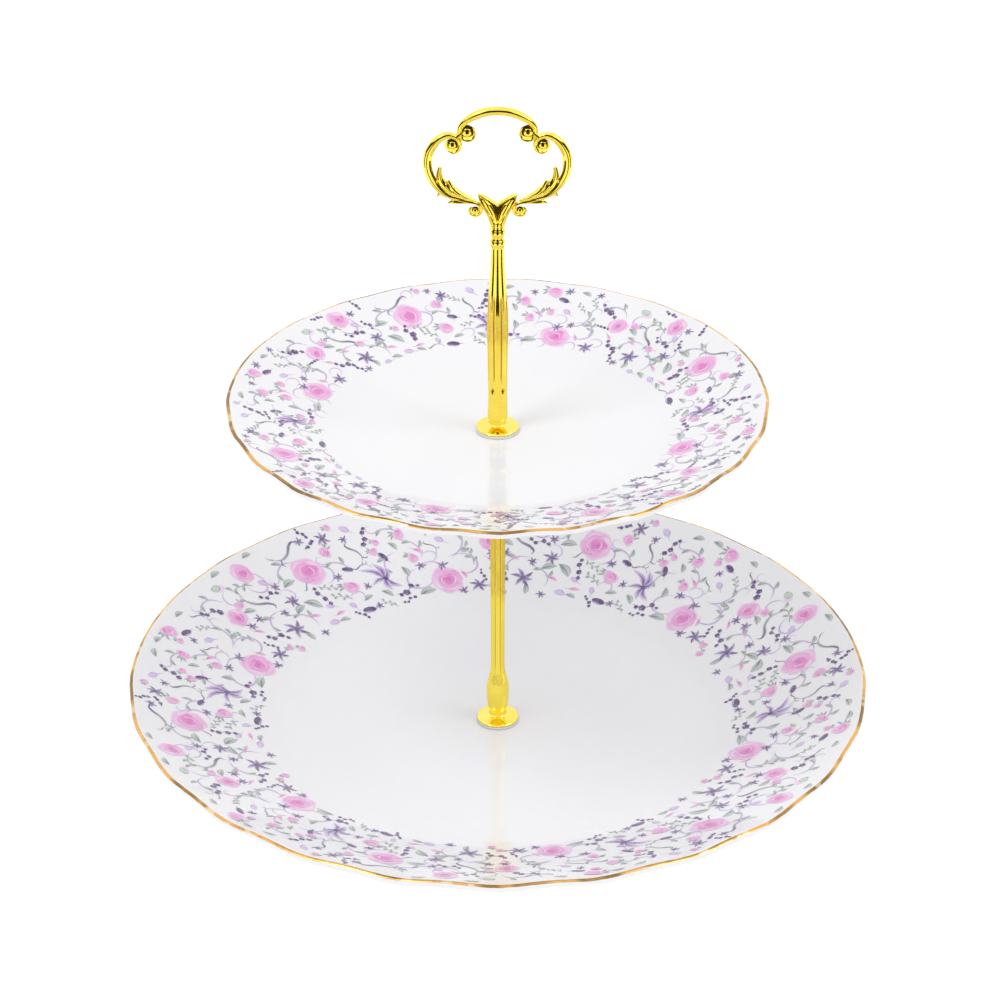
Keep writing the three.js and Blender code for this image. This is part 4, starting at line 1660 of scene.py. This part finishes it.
@dataclass
class FlowerPrint:
    """The transfer print on a plate's rim: one sector drawn from listed spots, repeated round the plate."""

    plate: Plate
    repeats: int
    scale: float
    start: float
    seed: int
    margin: float = 1.8
    extras: int = 34
    tries: int = 30
    least_room: float = 0.7  # share of its own room that a small picture needs

    def fillers(self, band: float) -> list[Spot]:
        """Small pictures that fill the gaps between the chosen ones.

        Args:
            band: Width of the printed band, in millimetres.

        Returns:
            Their spots.
        """
        dice = random.Random(self.seed + 1)
        across = TAU * (self.plate.rim_radius - band / 2) / self.repeats
        taken = [(s.along * across, s.out * band, 0.3 * s.size * self.scale) for s in SECTOR_SPOTS]
        made: list[Spot] = []
        for _ in range(self.extras):
            motif, size = dice.choice(SMALL_PICTURES)
            room = 0.33 * size * self.scale
            best, x, y = max((self.clearance(place, taken, across), *place) for place in
                             [(dice.uniform(0, across), dice.uniform(0.0, band)) for _ in range(self.tries)])
            if best > self.least_room * room:
                taken.append((x, y, room))
                made.append(Spot(motif, x / across, y / band, size, dice.uniform(-30, 75)))
        return made

    @staticmethod
    def clearance(place: Point2, taken: Sequence[tuple[float, float, float]], across: float) -> float:
        """Distance from a place to the nearest picture, round a sector that repeats every `across`."""
        return min(math.hypot((place[0] - a + across / 2) % across - across / 2, place[1] - b) - r
                   for a, b, r in taken)

    def build(self, repeat: RingRepeat, finishes: Finishes) -> None:
        """Draws the print in two layers, the greenery and the flowers.

        Args:
            repeat: The tree that sets copies round the axis.
            finishes: The materials.
        """
        inner = self.plate.well_radius + self.plate.verge_width * 0.55
        outer = self.plate.rim_radius - self.margin
        spots = (*SECTOR_SPOTS, *self.fillers(outer - inner))
        greenery = [spot for spot in spots if spot.motif in GREENERY]
        flowers = [spot for spot in spots if spot.motif not in GREENERY]
        for layer, chosen in (("greenery", greenery), ("flowers", flowers)):
            self.layer(f"{self.plate.node}_{layer}", chosen, inner, outer, repeat, finishes)

    def layer(self, name: str, spots: Sequence[Spot], inner: float, outer: float, repeat: RingRepeat,
              finishes: Finishes) -> None:
        """Draws one layer's sector, repeats it and seats it on the plate's body.

        Args:
            name: The piece's name.
            spots: Its pictures.
            inner: Radius where the print starts.
            outer: Radius where it ends.
            repeat: The tree that sets copies round the axis.
            finishes: The materials.
        """
        plate = self.plate
        painter = Painter(random.Random(self.seed))
        draft = MeshDraft()
        for spot in spots:
            size = spot.size * self.scale
            room = size * 0.36
            radius = inner + room + (outer - inner - 2 * room) * spot.out
            turn = TAU * (self.start + spot.along) / self.repeats
            painter.draw(Brush(plate, draft, radius, turn, size, math.radians(spot.turn)), spot.motif)
        sector = draft.object(name)
        piece = repeat.apply(sector, self.repeats, finishes.enamel)
        places = np.zeros(len(piece.data.vertices) * 3, np.float32)
        piece.data.vertices.foreach_get("co", places)
        fired = [settled(p / MM, plate) for p in places.reshape(-1, 3)]
        piece.data.vertices.foreach_set("co", (np.array(fired) * MM).astype(np.float32).reshape(-1))
        piece.data.update()
        sharpen(piece, 60)
        seat(piece, plate.body, "porcelain")


# ---- column ----


@dataclass
class FlutedShaft:
    """A turned shaft with flutes that fade in and out along it."""

    name: str
    outline: list[Point2]  # [height, radius] from the foot up
    flutes: int
    flute_depth: float  # share of the radius
    flute_width: float  # share of the flutes' spacing
    fluted_from: float
    fluted_to: float
    first_flute: float = 0.0  # degrees from the front
    dimple_height: float = 0.0
    dimples: tuple[float, ...] = ()  # degrees from the front
    fade_in: float = 4.0
    bore: float = BORE_RADIUS
    bore_depths: tuple[float, float] = (9.0, 0.0)
    around: int = 144
    steps: int = 220

    @staticmethod
    def turned_from(turn: float, middle: float, pitch: float) -> float:
        """How far an angle is from the nearest of the angles that start at middle and come every pitch."""
        return (turn - middle + pitch / 2) % pitch - pitch / 2

    def cut_at(self, height: float, turn: float, plain: float) -> tuple[float, float]:
        """How deep the flutes and dimples cut into the shaft.

        Args:
            height: Height over the foot.
            turn: Angle about the axis.
            plain: Radius before fluting.

        Returns:
            The cut's depth in millimetres, and how far into a hollow the place is, 0 to 1, which the gilt paints
            as shade.
        """
        share = eased((height - self.fluted_from) / self.fade_in) * eased((self.fluted_to - height) / 4.0)
        pitch = TAU / self.flutes
        off = self.turned_from(turn, math.radians(self.first_flute - 90), pitch)
        groove = math.exp(-((off / (self.flute_width * pitch)) ** 2))
        depth = plain * self.flute_depth * share * (0.8 * groove + 0.2 * (2 * off / pitch) ** 2)
        hollow = share * groove ** 2
        for dimple in self.dimples:
            across = self.turned_from(turn, math.radians(dimple - 90), TAU) * plain
            pit = math.exp(-1.5 * (((height - self.dimple_height) / 0.95) ** 2 + (across / 0.72) ** 2))
            depth += 0.75 * pit
            hollow = max(hollow, pit)
        return depth, hollow

    def build(self, foot: float, finish: bpy.types.Material) -> bpy.types.Object:
        """Makes the shaft, standing at a height, with its bores.

        Args:
            foot: Height of its foot.
            finish: Its material.

        Returns:
            The object.
        """
        heights = np.array([p[0] for p in self.outline])
        radii = np.array([p[1] for p in self.outline])
        curve = smooth_path(list(zip(heights, radii)), self.steps)
        top = float(curve[-1, 0])
        low_bore, high_bore = self.bore_depths
        foot_line = [(r, h, 0.0) for r, h in self.inner_line(low_bore)]
        top_line = [(r, top - h, 0.0) for r, h in reversed(self.inner_line(high_bore))]
        rows, recess_shades = [], []
        for k in range(self.around):
            turn = TAU * k / self.around
            line = list(foot_line)
            for h, r in curve:
                depth, hollow = self.cut_at(h, turn, r)
                line.append((r - depth, h, hollow))
            line += top_line
            rows.append([(r * math.cos(turn), r * math.sin(turn), foot + h) for r, h, _ in line])
            recess_shades += [hollow for _, _, hollow in line]
        draft = MeshDraft()
        draft.grid(rows, loop_rows=True, loop_columns=False)
        # painted shade: each vertex's depth in a flute or dimple, which the gilt darkens
        draft.values = {"recess_shade": recess_shades}
        piece = draft.object(self.name)
        turn_outward(piece, weld=WELD)
        piece.data.materials.append(finish)
        sharpen(piece, 45)
        return piece

    def inner_line(self, depth: float) -> list[Point2]:
        """The section of a bore from its closed end to its mouth, or of a flat end where there is no bore.

        Args:
            depth: Depth of the bore, or 0.

        Returns:
            Points of radius and distance from the mouth.
        """
        if depth <= 0:
            return [(0.0, 0.0)]
        return [(0.0, depth + 0.8), (self.bore, depth), (self.bore, 0.35), (self.bore + 0.35, 0.0)]


@dataclass
class CentreRod:
    """The column between the plates: a smooth bulb at its foot and a fluted shaft above."""

    finishes: Finishes
    foot_radius: float = 3.2
    bulb_radius: float = 4.12
    waist_radius: float = 2.52
    top_radius: float = 3.03

    def build(self) -> None:
        """Makes the rod and seats it on the column."""
        low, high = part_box("centre_rod")
        length = (high.z - low.z) / MM
        bulb, waist = self.bulb_radius, self.waist_radius
        outline = [(0.0, self.foot_radius - 0.3), (0.35, self.foot_radius), (1.2, 3.45), (4.0, bulb * 0.95),
                   (7.6, bulb), (10.0, bulb * 0.975), (12.4, bulb * 0.88), (14.4, waist + 0.62),
                   (16.8, waist + 0.16), (21.0, waist + 0.02), (26.0, waist), (50.0, waist + 0.13),
                   (80.0, waist + 0.32), (length - 0.4, self.top_radius), (length, self.top_radius - 0.3)]
        shaft = FlutedShaft("centre_rod_look", outline, flutes=8, flute_depth=0.13, flute_width=0.1, fade_in=14.0,
                            fluted_from=9.0, fluted_to=length + 4.0, first_flute=22.5, bore_depths=(9.0, 10.0),
                            steps=260)
        seat(shaft.build(low.z / MM, self.finishes.rod_gilt), "column", "gold", "centre_rod")


@dataclass
class CastBar:
    """One bar or leaf of the handle's casting: a ridged section swept along a path in the handle's plane."""

    path: Sequence[Point2]  # [x, z]
    widths: Sequence[float]  # half widths at even steps
    depth: float = 0.9  # share of the half width
    ridge: float = 0.2  # how far the ridge stands to the path's left
    flat: float = 0.0  # least half depth
    steps: int = 96

    SECTION_POINTS = 28

    def section(self) -> list[Point2]:
        """The section of a bar with half width 1, round with a soft ridge front and back.

        Returns:
            Points of [across, depth].
        """
        made: list[Point2] = []
        for a in TAU * np.arange(self.SECTION_POINTS) / self.SECTION_POINTS:
            across, out = math.cos(a), math.sin(a)
            made.append((across + self.ridge * (1 - across ** 2), out * (1 + 0.12 * abs(out) ** 5)))
        return made

    def build(self, base: float, mirrored: bool) -> bpy.types.Object:
        """Sweeps the bar.

        Args:
            base: Height of the path's zero.
            mirrored: Whether it is the right half's copy.

        Returns:
            A closed object.
        """
        middle = smooth_path(self.path, self.steps)
        ahead = np.gradient(middle, axis=0)
        ahead /= np.linalg.norm(ahead, axis=1)[:, None]
        section = self.section()
        flip = -1.0 if mirrored else 1.0
        rows = []
        for i in range(self.steps + 1):
            t = i / self.steps
            half = max(float(np.interp(t, np.linspace(0, 1, len(self.widths)), self.widths)), 0.05)
            thick = max(half * self.depth, self.flat)
            side = np.array([-ahead[i, 1], ahead[i, 0]])
            row = []
            for across, back in section:
                x, z = middle[i] + side * half * across
                row.append((flip * float(x), back * thick, base + float(z)))
            rows.append(row)
        return MeshDraft().closed("bar", rows)


@dataclass
class Eye:
    """The domed button in the middle of a scroll."""

    place: Point2
    radius: float
    dome: float = 0.42  # share of the radius that it stands out

    RINGS = 24
    SPOKES = 40

    def build(self, base: float, mirrored: bool) -> bpy.types.Object:
        """Makes the button as a closed lens.

        Args:
            base: Height of the path's zero.
            mirrored: Whether it is the right half's copy.

        Returns:
            The object.
        """
        rows = []
        x, z = self.place
        flip = -1.0 if mirrored else 1.0
        for i in range(1, self.RINGS):
            a = math.pi * i / self.RINGS
            reach, out = self.radius * math.sin(a) ** 0.8, self.radius * self.dome * math.cos(a)
            rows.append([(flip * (x + reach * math.cos(b)), out, base + z + reach * math.sin(b))
                         for b in np.linspace(0, TAU, self.SPOKES, endpoint=False)])
        return MeshDraft().closed("eye", rows)


@dataclass
class CastWeb:
    """A flat web of the casting: an outline in the handle's plane with a thickness."""

    outline: Sequence[Point2]  # [x, z]
    thickness: float

    def build(self, base: float, mirrored: bool) -> bpy.types.Object:
        """Makes the web as a closed slab.

        Args:
            base: Height of the outline's zero.
            mirrored: Whether it is the right half's copy.

        Returns:
            The object.
        """
        flip = -1.0 if mirrored else 1.0
        half = self.thickness / 2
        rows = [[(flip * x, depth, base + z) for x, z in self.outline] for depth in (-half, half)]
        return MeshDraft().closed("web", rows)


@dataclass
class Handle:
    """The casting on top: a fluted stem that forks into a pierced ring of scrolls and leaves."""

    finishes: Finishes
    stem_radius: float = 3.4
    swell_radius: float = 3.8
    neck_radius: float = 2.3
    collar_radius: float = 2.6
    stem_height: float = 73.2

    def bars(self) -> list[CastBar]:
        """The left half of the ring and of the fork.

        Returns:
            The bars.
        """
        top_scroll = CastBar(
            [(0.4, 42.7), (-2.8, 42.5), (-5.6, 41.8), (-8.6, 40.4), (-11.1, 38.6), (-12.6, 36.4), (-12.6, 34.2),
             (-11.5, 32.6), (-9.9, 32.1), (-8.4, 32.7), (-7.6, 34.1), (-7.8, 35.6)],
            [1.45, 1.5, 1.5, 1.45, 1.3, 1.1, 0.9, 0.75, 0.65, 0.5, 0.3], ridge=-0.22, steps=150)
        side_scroll = CastBar(
            [(-16.6, 28.3), (-15.0, 27.6), (-13.5, 28.2), (-12.6, 29.8), (-12.8, 31.7), (-14.1, 33.2),
             (-16.4, 33.9), (-19.0, 33.0), (-21.5, 30.4), (-23.2, 26.9), (-23.5, 23.2), (-22.9, 20.0),
             (-21.3, 16.6), (-18.6, 13.5), (-14.9, 11.3), (-10.3, 9.8), (-7.6, 9.2), (-6.0, 8.2), (-5.5, 6.6),
             (-6.1, 5.0), (-7.6, 4.4), (-9.1, 5.0), (-9.5, 6.5), (-8.8, 7.6)],
            [0.3, 0.6, 0.8, 1.05, 1.4, 1.55, 1.6, 1.6, 1.5, 1.4, 1.25, 1.1, 0.95, 0.85, 0.7, 0.6, 0.5, 0.3],
            ridge=-0.22, steps=260)
        leaves = [
            CastBar([(-19.3, 22.3), (-19.6, 19.8), (-19.2, 17.6), (-17.4, 14.8), (-14.2, 12.2), (-9.2, 10.2)],
                    [0.65, 1.2, 1.55, 1.4, 1.0, 0.6], ridge=0.2),
            CastBar([(-16.8, 17.4), (-16.0, 15.8), (-14.8, 14.0), (-11.8, 11.6), (-7.4, 9.6)],
                    [0.6, 1.1, 1.25, 1.0, 0.6], ridge=0.2),
            CastBar([(-20.0, 11.7), (-18.8, 12.5), (-16.9, 12.1), (-13.2, 11.0), (-9.2, 9.6)],
                    [0.2, 0.95, 1.15, 1.0, 0.8, 0.5], ridge=-0.2),
            CastBar([(-16.7, 9.0), (-15.0, 9.7), (-13.2, 9.7), (-9.4, 9.4)], [0.2, 0.9, 1.0, 0.8, 0.5],
                    ridge=-0.2),
            CastBar([(-20.4, 18.4), (-21.0, 16.9), (-20.0, 15.0)], [0.8, 1.0, 0.8]),
            CastBar([(-18.9, 14.6), (-19.6, 12.8), (-20.2, 11.6)], [0.8, 0.7, 0.3]),
        ]
        arm = CastBar([(-0.4, -2.2), (-0.9, 1.8), (-2.1, 5.2), (-3.6, 8.2), (-5.6, 11.4)],
                      [0.9, 1.2, 1.8, 1.7, 0.5], depth=0.75, ridge=-0.15)
        outer_edge = CastBar([(-1.2, -2.0), (-1.7, 1.6), (-2.8, 4.8), (-4.3, 7.6), (-5.6, 10.0), (-6.4, 12.3)],
                             [1.0, 0.95, 0.95, 0.85, 0.75, 0.4], depth=1.45, ridge=0.15)
        top_edge = CastBar([(-6.4, 12.4), (-4.3, 11.3), (-2.0, 9.8), (0.3, 8.2)], [0.35, 0.5, 0.5, 0.45],
                           depth=1.9, ridge=0.0)
        knot = CastBar([(-12.4, 34.6), (-13.7, 33.4)], [1.0, 1.0], steps=12)
        return [top_scroll, side_scroll, *leaves, arm, outer_edge, top_edge, knot]

    def eyes(self) -> list[Eye]:
        """The left half's scroll buttons, each on a thin backing disc.

        Returns:
            The buttons, then the discs.
        """
        buttons = [Eye((-10.2, 34.9), 1.65), Eye((-15.2, 30.3), 1.45), Eye((-7.6, 6.2), 0.95)]
        discs = [Eye(button.place, button.radius * 1.75, dome=0.12) for button in buttons]
        return buttons + discs

    def webs(self) -> list[CastWeb]:
        """The hollowed front of the fork's left half."""
        return [CastWeb([(0.2, -1.5), (-1.6, -1.5), (-2.0, 2.0), (-3.2, 5.0), (-4.6, 7.6), (-5.8, 10.4),
                         (-6.2, 11.9), (-4.2, 11.0), (-2.0, 9.5), (0.2, 8.0)], 1.4)]

    def stem(self, foot: float) -> bpy.types.Object:
        """The fluted stem with its two collars.

        Args:
            foot: Height of its foot.

        Returns:
            The stem.
        """
        top, neck, collar = self.stem_height, self.neck_radius, self.collar_radius
        outline = [(0.0, self.stem_radius - 0.35), (0.35, self.stem_radius), (6.0, self.stem_radius),
                   (14.0, self.stem_radius), (26.0, 3.6), (35.0, self.swell_radius - 0.02), (39.0, 3.72),
                   (44.0, 3.46), (50.0, 3.02), (56.5, 2.58), (61.0, neck + 0.06), (65.2, neck), (66.2, neck),
                   (66.9, collar - 0.06), (67.7, collar), (68.5, collar - 0.1), (69.1, neck - 0.2),
                   (70.0, neck - 0.25), (70.6, collar - 0.1), (71.4, collar), (72.2, collar - 0.08),
                   (73.0, neck - 0.2), (75.5, neck - 0.4), (76.2, 0.9)]
        shaft = FlutedShaft("stem", outline, flutes=8, flute_depth=0.13, flute_width=0.1, fluted_from=14.0,
                            fluted_to=top - 24.0, first_flute=22.5, dimple_height=12.0,
                            dimples=(-35.0, 35.0, 145.0, 215.0), bore_depths=(9.0, 0.0), steps=230)
        return shaft.build(foot, self.finishes.gilt)

    def build(self) -> None:
        """Casts the handle in one piece and seats it on its body."""
        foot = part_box("handle")[0].z / MM
        base = foot + self.stem_height
        parts = [part.build(base, mirrored) for part in (*self.bars(), *self.eyes(), *self.webs())
                 for mirrored in (False, True)]
        casting, others = parts[0], parts[1:]
        group = bpy.data.collections.new("casting")
        for other in others:
            group.objects.link(other)
        fuse = casting.modifiers.new("fuse", "BOOLEAN")
        fuse.operation, fuse.operand_type, fuse.collection = "UNION", "COLLECTION", group
        fuse.solver, fuse.use_self = "EXACT", True
        ring = plain_copy(casting, "ring")
        for other in others:
            bpy.data.objects.remove(other)
        bpy.data.collections.remove(group)
        ring.data.materials.clear()
        ring.data.materials.append(self.finishes.gilt)
        sharpen(ring, 38)
        handle = joined([self.stem(foot), ring], "handle_look")
        seat(handle, "handle", "gold", "handle")


# ---- studio ----


@dataclass
class Studio:
    """A pale floor, soft light all round, and the camera."""

    camera_distance: float = 1164.4
    camera_height: float = 754.0
    camera_pitch: float = 29.36
    camera_yaw: float = 0.04
    focal_length: float = 136.49
    card_radius: float = 400.0
    card_floor: float = 131.0
    card_colour: Colour = (0.03, 0.026, 0.018)
    sky_level: float = 0.6  # at the horizon
    sky_overhead: float = 0.36  # what straight up has more
    sky_mirrored: float = 1.12

    def floor(self) -> None:
        """A wide pale floor."""
        draft = MeshDraft()
        reach, level = 6000.0, -0.05
        draft.grid([[(x, y, level) for x in (-reach, reach)] for y in (-reach, reach)], False, False)
        floor = draft.object("floor")
        material, graph = new_material("pale_floor")
        uneven = graph.noise(graph.place(), 1.5, 2.0)
        tone = graph.mix(uneven, (0.64, 0.64, 0.64), (0.68, 0.68, 0.68))
        shader = graph.node("ShaderNodeBsdfPrincipled", Base_Color=tone, Roughness=0.7, Emission_Strength=0.5)
        graph.end(shader.outputs["BSDF"])
        floor.data.materials.append(material)

    def flag(self, name: str, rows: Sequence[Sequence[Sequence[float]]]) -> None:
        """A dark card that only shows in what stands over the upper plate, as if set round the handle alone.

        Args:
            name: The card's name.
            rows: Rows of points on it, in millimetres.
        """
        draft = MeshDraft()
        draft.grid(rows, False, False)
        card = draft.object(name)
        material, graph = new_material(name)
        where = graph.tree.nodes.new("ShaderNodeNewGeometry")
        run = graph.tree.nodes.new("ShaderNodeLightPath").outputs["Ray Length"]
        back = graph.node("ShaderNodeSeparateXYZ", Vector=where.outputs["Incoming"]).outputs["Z"]
        here = graph.node("ShaderNodeSeparateXYZ", Vector=where.outputs["Position"]).outputs["Z"]
        source = graph.math("ADD", here, graph.math("MULTIPLY", back, run))
        shown = graph.math("GREATER_THAN", source, self.card_floor * MM)
        mix = graph.node("ShaderNodeMixShader", Fac=shown)
        graph.feed(mix.inputs[1], graph.node("ShaderNodeBsdfTransparent").outputs[0])
        dark = graph.node("ShaderNodeBsdfDiffuse", Color=(*self.card_colour, 1.0))
        graph.feed(mix.inputs[2], dark.outputs[0])
        graph.end(mix.outputs[0])
        card.data.materials.append(material)
        card.visible_camera = False
        card.visible_diffuse = False
        card.visible_shadow = False

    def flags(self) -> None:
        """A dark card in front, wider towards its top, one on each side, and a band at the handle's height."""
        front = ((95, -400, 0), (150, -430, 300), (300, -900, 1080))
        self.flag("front_card", [[(-x, y, z), (x, y, z)] for x, y, z in front])
        self.flag("left_card", self.bent(186, 214, 0, 400))
        self.flag("right_card", self.bent(-34, -6, 0, 400))
        self.flag("horizon_band", self.bent(-190, 10, 228, 385))

    def bent(self, start: float, stop: float, low: float, high: float) -> list[list[tuple[float, float, float]]]:
        """Rows of points for a card bent round the stand.

        Args:
            start: Angle where it starts, in degrees.
            stop: Angle where it stops.
            low: Height of its lower edge.
            high: Height of its upper edge.

        Returns:
            Two rows of points, in millimetres.
        """
        turns = np.radians(np.linspace(start, stop, 17))
        return [[(self.card_radius * math.cos(a), self.card_radius * math.sin(a), z) for a in turns]
                for z in (low, high)]

    def lamp(self, name: str, place: Sequence[float], size: float, power: float) -> None:
        """A square soft light that looks at the middle of the stand.

        Args:
            name: The light's name.
            place: Where it hangs, in millimetres.
            size: Its side, in millimetres.
            power: Its power in watts.
        """
        data = bpy.data.lights.new(name, "AREA")
        data.shape, data.size, data.energy = "SQUARE", size * MM, power
        lamp = bpy.data.objects.new(name, data)
        lamp.location = Vector(place) * MM
        aim = Vector((0, 0, 0.12)) - lamp.location
        lamp.rotation_mode = "QUATERNION"
        lamp.rotation_quaternion = aim.to_track_quat("-Z", "Y")
        bpy.context.scene.collection.objects.link(lamp)

    def lights(self) -> None:
        """White light from all round, stronger from above, with soft lamps above and to the sides."""
        world = bpy.data.worlds.new("studio")
        bpy.context.scene.world = world
        world.use_nodes = True
        graph = Graph(world.node_tree)
        mirrored = graph.tree.nodes.new("ShaderNodeLightPath").outputs["Is Glossy Ray"]
        incoming = graph.tree.nodes.new("ShaderNodeNewGeometry").outputs["Incoming"]
        upward = graph.math("ABSOLUTE", graph.node("ShaderNodeSeparateXYZ", Vector=incoming).outputs["Z"])
        soft = graph.math("ADD", self.sky_level, graph.math("MULTIPLY", upward, self.sky_overhead))
        strength = graph.math("ADD", graph.math("MULTIPLY", soft, graph.math("SUBTRACT", 1.0, mirrored)),
                              graph.math("MULTIPLY", mirrored, self.sky_mirrored))
        sky = graph.node("ShaderNodeBackground", Color=(1.0, 1.0, 1.0, 1.0), Strength=strength)
        graph.end(sky.outputs[0], "ShaderNodeOutputWorld")
        self.lamp("key_light", (-700, -500, 1300), 500, 5.0)
        self.lamp("fill_light", (900, -300, 1000), 600, 3.0)

    def camera(self) -> None:
        """The camera, in front and above."""
        data = bpy.data.cameras.new("camera")
        data.lens, data.sensor_width, data.clip_start, data.clip_end = self.focal_length, 36.0, 0.05, 50.0
        camera = bpy.data.objects.new("camera", data)
        camera.location = Vector((0, -self.camera_distance, self.camera_height)) * MM
        camera.rotation_euler = (math.radians(90 - self.camera_pitch), 0, math.radians(-self.camera_yaw))
        bpy.context.scene.collection.objects.link(camera)
        bpy.context.scene.camera = camera

    def build(self) -> None:
        """Sets the whole studio."""
        bpy.context.scene.view_settings.view_transform = "Standard"
        self.camera()
        self.floor()
        self.flags()
        self.lights()


# ---- the stand ----


def main() -> None:
    """Builds the studio and every piece of the stand."""
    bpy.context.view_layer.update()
    Studio().build()
    finishes = Finishes.build()
    repeat = RingRepeat()
    lower = Plate("lower_plate", "lower_tier", well_radius=80, wall=4, lip_wall=2.6, foot_radius=77,
                  foot_width=3.6, foot_height=3.5, droop=0.34)
    upper = Plate("upper_plate", "upper_tier", well_radius=56, wall=3.5, lip_wall=2.4, foot_radius=53.5,
                  foot_width=3.2, foot_height=3)
    for plate in (lower, upper):
        plate.build(finishes)
    FlowerPrint(lower, repeats=6, scale=1.0, start=0.0, seed=11).build(repeat, finishes)
    FlowerPrint(upper, repeats=4, scale=0.86, start=0.1, seed=23).build(repeat, finishes)
    Hardware(finishes, ScrewThread()).build()
    CentreRod(finishes).build()
    Handle(finishes).build()


if __name__ == "__main__":
    main()
